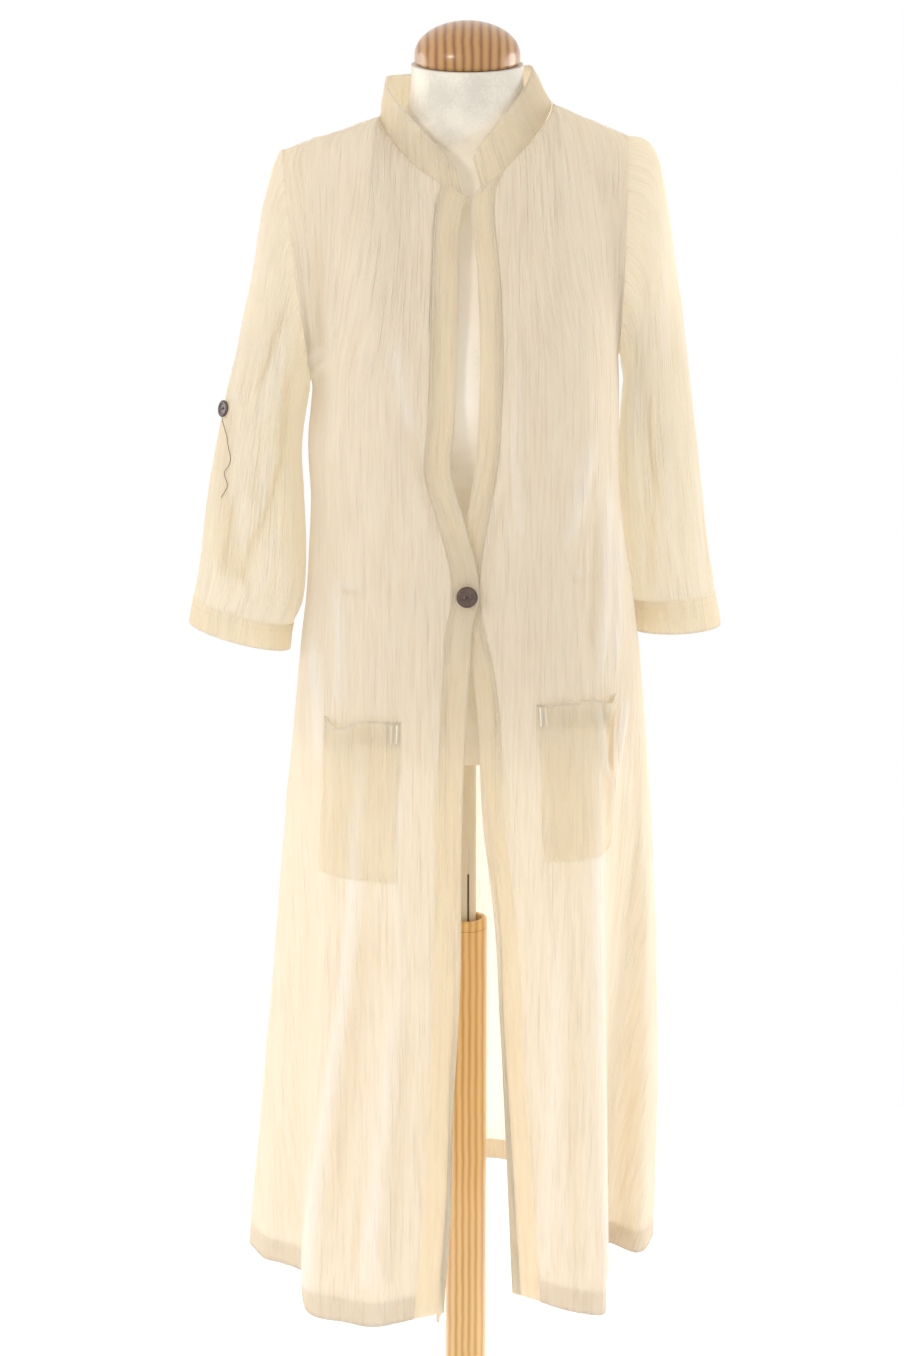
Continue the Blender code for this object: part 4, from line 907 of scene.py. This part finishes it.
def makeFront(side):
    word = words[side]
    rows, lifts = turnedHem(side, rowLevels("front"))
    neckU = neckColumn[side]
    columns = runs((0.0, neckU, 52), (neckU, 1.0, 76))
    place = lambda a, b: frontPoint(side, a, b)
    relief, press = frontRelief(side), frontPress(side)
    front, onFront = clothPiece(f"front{word.title()}", f"front_{word}", *grid(columns, rows), place, forward,
                                looks["cotton"], relief, lifts, press, warp=0, turned=cotton["hemRows"])

    # the band is folded at its free edge, and its under layer runs on past the seam
    columns, lifts = layers((band["outer"], cotton["inner"]), (band["inner"], band["innerLift"]))
    folded = grid(columns, rowLevels("band"))
    strip, onStrip = clothPiece(f"band{word.title()}", f"band_{word}", *folded, place, forward,
                                looks["double"], relief, lifts, press)
    sew = bmesh.new()
    sewLine(sew, onStrip, band["stitchU"], np.linspace(0.004, 2.985, 500), cotton["inner"])
    sewHem(sew, onFront, side, np.linspace(0.0, 0.995, 160))
    stitches = sewn(f"frontStitches{word.title()}", sew)
    makePocket(side, place, relief, press)


pocketSizes = {
    right: {"inner": 0.17, "outer": 0.56, "low": 0.75, "high": 0.904, "sag": 0.011, "sagAt": 0.47,
            "sagWide": 0.085, "sagOut": 0.004},
    left: {"inner": 0.16, "outer": 0.605, "low": 0.768, "high": 0.92, "sag": 0.005, "sagAt": 0.535,
           "sagWide": 0.045, "sagOut": 0.008},
}
pocketCut = {"gape": 0.004, "hem": 0.024, "wall": 0.0007, "edgeLift": 0.0012, "midLift": 0.0022,
             "fold": 0.0008, "inset": 0.012, "stitchLift": 0.0016, "tackLift": 0.0017,
             "tackAt": (0.004, 0.026), "gapeFrom": 0.45, "slackFrom": 0.55, "softEdge": 0.03}


def makePocket(side, place, relief, press):
    word, p = words[side], pocketSizes[side]
    low, high, tuck = (float(levelOf(side, z)) for z in (p["low"], p["high"], p["high"] - pocketCut["hem"]))
    leaning = np.array((side * 0.4, -0.9, 0.0))

    def pocketFace(a, b):
        at = place(a, b)
        mouth = fade(b, mix(low, high, pocketCut["gapeFrom"]), high)
        openAt = np.sin(np.pi * np.clip((a - p["inner"]) / (p["outer"] - p["inner"]), 0, 1))
        loose = fade(b, mix(low, high, pocketCut["slackFrom"]), high)
        slack = np.exp(-((a - p["sagAt"]) / p["sagWide"]) ** 2) * loose
        at[..., 2] -= p["sag"] * slack
        return at + leaning * (pocketCut["gape"] * mouth * openAt + p["sagOut"] * slack)[..., None]

    rows, drops = layers(((low, high, 48), 0.0), ((high, tuck, 8), pocketCut["fold"]))
    u, v = grid(np.linspace(p["inner"], p["outer"], 60), rows)
    edge = np.minimum(np.minimum(u - p["inner"], p["outer"] - u), v - low)
    lifts = mix(pocketCut["edgeLift"], pocketCut["midLift"], fade(edge, 0.0, pocketCut["softEdge"]))
    lifts -= drops[:, None]
    pocket, onPocket = clothPiece(f"pocket{word.title()}", f"pocket_{word}", u, v, pocketFace, forward,
                                  looks["pocket"], relief, lifts, press, wall=pocketCut["wall"], warp=0)
    sew = bmesh.new()
    a, b = p["inner"] + pocketCut["inset"], p["outer"] - pocketCut["inset"]
    across, down = np.linspace(a, b, 60), np.linspace(high, low + 0.003, 60)
    for u, v in ((a, down), (across, down[-1]), (b, down[::-1]), (across, tuck + 0.002)):
        sewLine(sew, onPocket, u, v, pocketCut["stitchLift"])
    for off in pocketCut["tackAt"]:
        sewLine(sew, onPocket, a + off, np.linspace(high - 0.004, tuck + 0.006, 20), pocketCut["tackLift"],
                bartack)
    stitches = sewn(f"pocketStitches{word.title()}", sew)


def makeBack():
    rows, lifts = turnedHem(right, rowLevels("back"))
    columns = runs((-1, -backNeck, 46), (-backNeck, backNeck, 90), (backNeck, 1, 46))
    relief = lambda places, a, b: panelCrinkle(places, seeds["back"])
    press = lambda places, a, b: creaseAt(places, backCreases)
    made, onBack = clothPiece("backPanel", "back", *grid(columns, rows), backPoint, backward, looks["sleeve"],
                              relief, lifts, press, warp=len(columns) // 2, turned=cotton["hemRows"])
    sew = bmesh.new()
    sewHem(sew, onBack, right, np.linspace(-0.995, 0.995, 320))
    sewn("backStitches", sew)


collar = {"start": -2.0, "end": -351.0, "liftOff": 0.03, "round": 0.24, "roundOver": 8.0, "wall": 0.0007,
          "outerLift": -0.0008, "innerLift": -0.0018, "stitchLift": -0.0007, "stitchIn": 2.5,
          "stitchAt": (0.9, 0.15), "seamAt": (0.9, 0.14), "seamWide": 0.03, "seamDeep": 0.0006,
          "middle": (-0.004, 0.003, 0.0), "waves": ((9.0, 1.2, 0.0011), (34.0, 2.5, 0.0004))}
degreesPerU = 100.0


def makeCollar():
    start, end, liftOff, inset = (collar[key] for key in ("start", "end", "liftOff", "stitchIn"))

    def place(a, b):
        return neckPoint(a * degreesPerU, b)

    def hint(places):
        flat = places - np.array(collar["middle"])
        return flat * np.array((1.0, 1.0, 0.0))

    def relief(places, a, b):
        waves = [dotNoise(a * wide, b * tall, seeds["collar"] + k) * high
                 for k, (wide, tall, high) in enumerate(collar["waves"])]
        seam = sum(np.exp(-((b - at) / collar["seamWide"]) ** 2) for at in collar["seamAt"])
        return sum(waves) * fade(b, 0.0, 0.5) - collar["seamDeep"] * seam

    parts, lifts = layers(((liftOff, 1.0, 16), collar["outerLift"]),
                          ((1.0, liftOff, 12), collar["innerLift"]))
    u, v = grid(np.linspace(start, end, 190) / degreesPerU, parts)
    angles = u * degreesPerU
    fromEnd = np.minimum(np.abs(angles - start), np.abs(angles - end)) / collar["roundOver"]
    v = np.minimum(v, 1 - np.clip(1 - fromEnd, 0, 1) ** 2.4 * collar["round"])  # rounded top corners
    made, onCollar = clothPiece("standCollar", "collar", u, v, place, hint, looks["double"], relief,
                                lifts[:, None], wall=collar["wall"])
    sew = bmesh.new()
    run = np.linspace(start - inset, end + inset, 320) / degreesPerU
    for part in collar["stitchAt"]:
        sewLine(sew, onCollar, run, part, collar["stitchLift"])
    for angle in (start - inset, end + inset):
        sewLine(sew, onCollar, angle / degreesPerU, np.linspace(0.15, 0.86, 20), collar["stitchLift"])
    stitches = sewn("collarStitches", sew)


sleeveRings = {
    right: sizes("ring outerX outerZ innerX innerZ midY depth", [
        (-1, -0.1735, 1.4305, -0.144, 1.2165, 0.01, 0.0608),
        (0, -0.1776, 1.4315, -0.1532, 1.214, 0.01, 0.0615), (1, -0.185, 1.415, -0.156, 1.203, 0.009, 0.0615),
        (2, -0.191, 1.39, -0.1585, 1.19, 0.008, 0.061), (3, -0.198, 1.355, -0.161, 1.175, 0.006, 0.06),
        (4, -0.207, 1.31, -0.1635, 1.155, 0.004, 0.058), (5, -0.218, 1.255, -0.164, 1.135, 0.002, 0.055),
        (6, -0.2325, 1.198, -0.1622, 1.105, 0.0, 0.052), (7, -0.252, 1.108, -0.1602, 1.05, 0.0, 0.049),
        (8, -0.262, 1.037, -0.164, 1.0, 0.0, 0.047), (9, -0.269, 1.002, -0.174, 0.974, 0.0, 0.046),
        (10, -0.274, 0.976, -0.1775, 0.949, 0.0, 0.045),
    ]),
    left: sizes("ring outerX outerZ innerX innerZ midY depth", [
        (-1, 0.148, 1.4435, 0.141, 1.2415, 0.01, 0.0608),
        (0, 0.1526, 1.445, 0.15, 1.239, 0.01, 0.0615), (1, 0.1715, 1.441, 0.153, 1.226, 0.013, 0.0615),
        (2, 0.183, 1.425, 0.1555, 1.212, 0.017, 0.061), (3, 0.191, 1.393, 0.155, 1.195, 0.023, 0.06),
        (4, 0.198, 1.355, 0.154, 1.175, 0.03, 0.058), (5, 0.2065, 1.305, 0.1528, 1.15, 0.037, 0.057),
        (6, 0.2155, 1.24, 0.1518, 1.12, 0.044, 0.055), (7, 0.223, 1.198, 0.152, 1.095, 0.048, 0.053),
        (8, 0.2345, 1.11, 0.155, 1.06, 0.052, 0.051), (9, 0.244, 1.04, 0.161, 1.02, 0.054, 0.05),
        (10, 0.2505, 0.998, 0.1655, 0.991, 0.054, 0.05), (11, 0.257, 0.964, 0.169, 0.96, 0.054, 0.05),
    ]),
}
sleeveTab = {
    right: {"turns": (0.0, 0.698), "rings": (6, 8), "twist": math.radians(25), "under": -0.0026, "lean": 0.4},
    left: {"turns": (-1.047, -0.349), "rings": (7, 9), "twist": 0.0, "under": -0.0018, "lean": 0.0},
}
tabButton = {"turn": 0.349, "ring": 0.1, "lift": 0.0017}  # from the tab's first corner
tabWall = 0.001
sleeveRadius = 0.05
cuffCut = {"over": 1.02, "outerLift": 0.0012, "innerLift": -0.0002, "wall": 0.0007, "stitches": (0.96, 0.78)}


def makeSleeve(side):
    word, table = words[side], sleeveRings[side]
    first, end = (int(table["rows"][k, 0]) for k in (0, -1))

    def place(turn, ring):
        return ringPoint({name: read(table, ring, name) for name in table["columns"]}, turn)

    def hint(places):
        fine = np.linspace(first, end, 60)
        middles = (place(np.zeros(60), fine) + place(np.full(60, np.pi), fine)) / 2
        flat = np.reshape(places, (-1, 3))
        nearest = np.argmin(np.linalg.norm(flat[:, None, :] - middles[None], axis=2), axis=1)
        return np.reshape(flat - middles[nearest], np.shape(places))

    def relief(places, turn, ring):
        around = crinkleAt(turn * sleeveRadius, places[..., 2], seeds["sleeve"] + side) * fade(ring, 0.0, 1.2)
        return around * (1 - fade(ring, end - 1.4, end - 1.0) * 0.5)

    def press(places, turn, ring):
        shown = fade(np.sin(turn), -0.3, 0.3) * (1 - fade(ring, end - 1.3, end - 1.0))
        return creaseAt(places, sleeveCreases[side]) * shown

    turns = np.linspace(0, 2 * np.pi, 113)
    rings = runs((first, 0, 5), (0, 1, 14), (1, end - 1, 86))
    sleeve, onSleeve = clothPiece(f"sleeve{word.title()}", f"sleeve_{word}", *grid(turns, rings), place, hint,
                                  looks["sleeve"], relief, cotton["inner"], press, closed=True)

    folds, lifts = layers(((end - cuffCut["over"], end, 12), cuffCut["outerLift"]),
                          ((end, end - 1.0, 10), cuffCut["innerLift"]))
    cuff, onCuff = clothPiece(f"cuff{word.title()}", f"cuff_{word}", *grid(turns, folds), place, hint,
                              looks["double"], relief, lifts[:, None], closed=True, wall=cuffCut["wall"])
    sew = bmesh.new()
    for back in cuffCut["stitches"]:
        sewLine(sew, onCuff, np.linspace(0, 2 * np.pi, 160), end - back, cuffCut["outerLift"])
    stitches = sewn(f"cuffStitches{word.title()}", sew)

    tab = sleeveTab[side]
    strip = grid(np.linspace(*tab["turns"], 14), np.linspace(*tab["rings"], 44))
    twisted = lambda a, b: place(a + tab["twist"] * (b - tab["rings"][0]), b)
    made = clothPiece(f"sleeveTab{word.title()}", f"sleeve_tab_{word}", *strip, twisted, hint,
                      looks["double"], relief, tab["under"], wall=tabWall)[0]
    return onSleeve


frontButton = {"radius": 0.01, "thick": 0.0034, "hole": 0.0011, "pitch": 0.0022, "x": -0.0005, "z": 1.025,
               "bodyY": 0.134, "lift": 0.0024}
sleeveButton = {"radius": 0.0083, "thick": 0.003, "hole": 0.001, "pitch": 0.0019}
holeTurn = Matrix.Rotation(0.21, 4, "Z")


def makeButton(name, size, centre, facing, look, node):
    r, h, hole, pitch = (size[key] for key in ("radius", "thick", "hole", "pitch"))
    rim = [(r * (0.6 + 0.4 * t), h * (0.72 + 0.28 * math.sin(math.pi * min(1.0, t * 1.25)) ** 1.3))
           for t in np.linspace(0, 0.8, 8)]
    face = [(0, h * 0.66), (r * 0.3, h * 0.66), (r * 0.52, h * 0.69)] + rim
    face += [(r * 0.97, h * 0.8), (r, h * 0.6), (r * 0.98, h * 0.32), (r * 0.86, h * 0.05), (r * 0.8, 0),
             (0, 0)]
    place = Matrix.Translation(centre) @ Vector(facing).to_track_quat("Z", "Y").to_matrix().to_4x4()
    made = turnedPiece(name, face, look, 48, place, "form", 60)
    for k in (-1, 1):
        bm = bmesh.new()
        bmesh.ops.create_cone(bm, cap_ends=True, segments=16, radius1=hole, radius2=hole, depth=h * 4,
                              matrix=place @ holeTurn @ Matrix.Translation((k * pitch, 0, 0)))
        drill = meshFrom("drill", bm)
        cut = made.modifiers.new("hole", "BOOLEAN")
        cut.operation = "DIFFERENCE"
        cut.solver = "EXACT"
        cut.object = drill
        bpy.context.view_layer.objects.active = made
        bpy.ops.object.modifier_apply(modifier="hole")
        bpy.data.objects.remove(drill, do_unlink=True)
    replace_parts(made, node)
    sew = bmesh.new()
    for k in (-0.35, 0.0, 0.35):  # thread between the two holes
        bar = holeTurn @ Matrix.Translation((0, k * hole, h * 0.72))
        shape = Matrix.Diagonal((pitch * 2, 0.0005, 0.0006, 1))
        bmesh.ops.create_cube(sew, size=1.0, matrix=place @ bar @ shape)
    sewn(name + "Thread", sew, looks["darkThread"])


makeBack()
for side in (right, left):
    makeFront(side)
makeCollar()
print("body of the jacket made")

thread = {"radius": 0.0003, "lift": 0.0022, "points": 56, "settled": 0.3, "line": sizes("share turn ring", [
    (0.0, 26, 6.2), (0.15, 34, 6.26), (0.3, 42, 6.36), (0.45, 52, 6.47), (0.57, 50, 6.57),
    (0.68, 46, 6.66), (0.8, 53, 6.75), (0.9, 51, 6.84), (1.0, 47, 6.93)])}


def makeThread(seat, facing, onSleeve):  # a loose end from under the right sleeve's button
    up = Vector((0, 0, 1)) - facing * facing.z
    below = sleeveButton["radius"] + 2 * thread["radius"]
    start = seat + facing * sleeveButton["thick"] * 0.4 - up.normalized() * below
    shares = np.linspace(0, 1, thread["points"])
    turns = np.radians(read(thread["line"], shares, "turn"))
    lying = onSleeve(turns, read(thread["line"], shares, "ring"), np.full(len(shares), thread["lift"]))
    lying += (np.array(start) - lying[0]) * (1 - fade(shares, 0.0, thread["settled"]))[:, None]
    line = bpy.data.curves.new("looseThread", "CURVE")
    line.dimensions = "3D"
    line.bevel_depth = thread["radius"]
    line.bevel_resolution = 2
    line.use_fill_caps = True
    spline = line.splines.new("POLY")
    spline.points.add(len(lying) - 1)
    for spot, at in zip(spline.points, lying):
        spot.co = (*at, 1.0)
    made = linked("looseThread", line)
    line.materials.append(looks["darkThread"])
    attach(made, "form")
    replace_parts(made, "thread_sleeve_right")


def makeTabButton(side, onSleeve):
    tab = sleeveTab[side]
    turn = np.array([tab["turns"][0] + tabButton["turn"]])
    ring = np.array([tab["rings"][0] + tabButton["ring"]])
    seat, above = (Vector(onSleeve(turn, ring, np.array([out]))[0]) for out in (0.0, 0.01))
    normal = (above - seat).normalized()
    facing = (normal + Vector((0, -tab["lean"], 0))).normalized()
    seat += normal * (tabButton["lift"] + normal.cross(facing).length * sleeveButton["radius"] * 0.5)
    makeButton(f"sleeveButton{words[side].title()}", sleeveButton, seat, tuple(facing), looks["darkButton"],
               f"button_sleeve_{words[side]}")
    if side == right:
        makeThread(seat, facing, onSleeve)


for side in (right, left):
    makeTabButton(side, makeSleeve(side))
faceY = -(frontButton["bodyY"] + lap["out"] + frontButton["lift"])
makeButton("frontButton", frontButton, Vector((frontButton["x"], faceY, frontButton["z"])), (0, -1, 0),
           looks["brownButton"], "button_front")
print("sleeves and buttons made")


# floor, light and camera
lights = {
    "key": {"at": (-1.7, -2.3, 2.1), "size": 0.6, "power": 20},
    "sideRight": {"at": (-2.2, 1.2, 1.2), "size": 1.8, "power": 19},
    "sideLeft": {"at": (2.2, 0.9, 1.2), "size": 1.8, "power": 33},
}
lightsAim = Vector((0, 0, 0.95))
photoView = {"focal": 2300, "tall": 1356, "at": (-0.0145, -2.25, 1.4), "down": 12.1}  # in pixels, m, degrees
sensor = 36.0


def areaLight(name, at, size, power):
    lamp = bpy.data.lights.new(name, "AREA")
    lamp.shape = "DISK"
    lamp.size = size
    lamp.energy = power
    made = linked(name, lamp)
    made.location = at
    made.rotation_euler = (lightsAim - Vector(at)).to_track_quat("-Z", "Y").to_euler()


bm = bmesh.new()
bmesh.ops.create_grid(bm, x_segments=2, y_segments=2, size=1.1)
floor = meshFrom("floor", bm)
floor.data.materials.append(plainLook("paleFloor", (1.0, 1.0, 1.0), (0.99, 0.99, 0.99), 3.0, 0.9,
                                      depth=0.0, strength=0.0))

world = bpy.data.worlds.new("studio")
world.use_nodes = True
tree = world.node_tree
sky = tree.nodes["Background"]
sky.inputs["Color"].default_value = (1.0, 1.0, 1.0, 1.0)
way = tree.nodes.new("ShaderNodeTexCoord")
parts = tree.nodes.new("ShaderNodeSeparateXYZ")
span = tree.nodes.new("ShaderNodeMapRange")  # brighter behind the form than before it
for name, value in {"From Min": -0.7, "From Max": 0.4, "To Min": 0.9, "To Max": 1.0}.items():
    span.inputs[name].default_value = value
tree.links.new(way.outputs["Generated"], parts.inputs["Vector"])
tree.links.new(parts.outputs["Y"], span.inputs["Value"])
tree.links.new(span.outputs["Result"], sky.inputs["Strength"])
bpy.context.scene.world = world
for name, light in lights.items():
    areaLight(name, **light)
bpy.context.scene.view_settings.view_transform = "Standard"

camera = linked("camera", bpy.data.cameras.new("camera"))
camera.data.sensor_width = sensor
camera.data.lens = photoView["focal"] / photoView["tall"] * sensor
camera.location = photoView["at"]
camera.rotation_euler = (math.radians(90 - photoView["down"]), 0, 0)
bpy.context.scene.camera = camera

print("scene made")
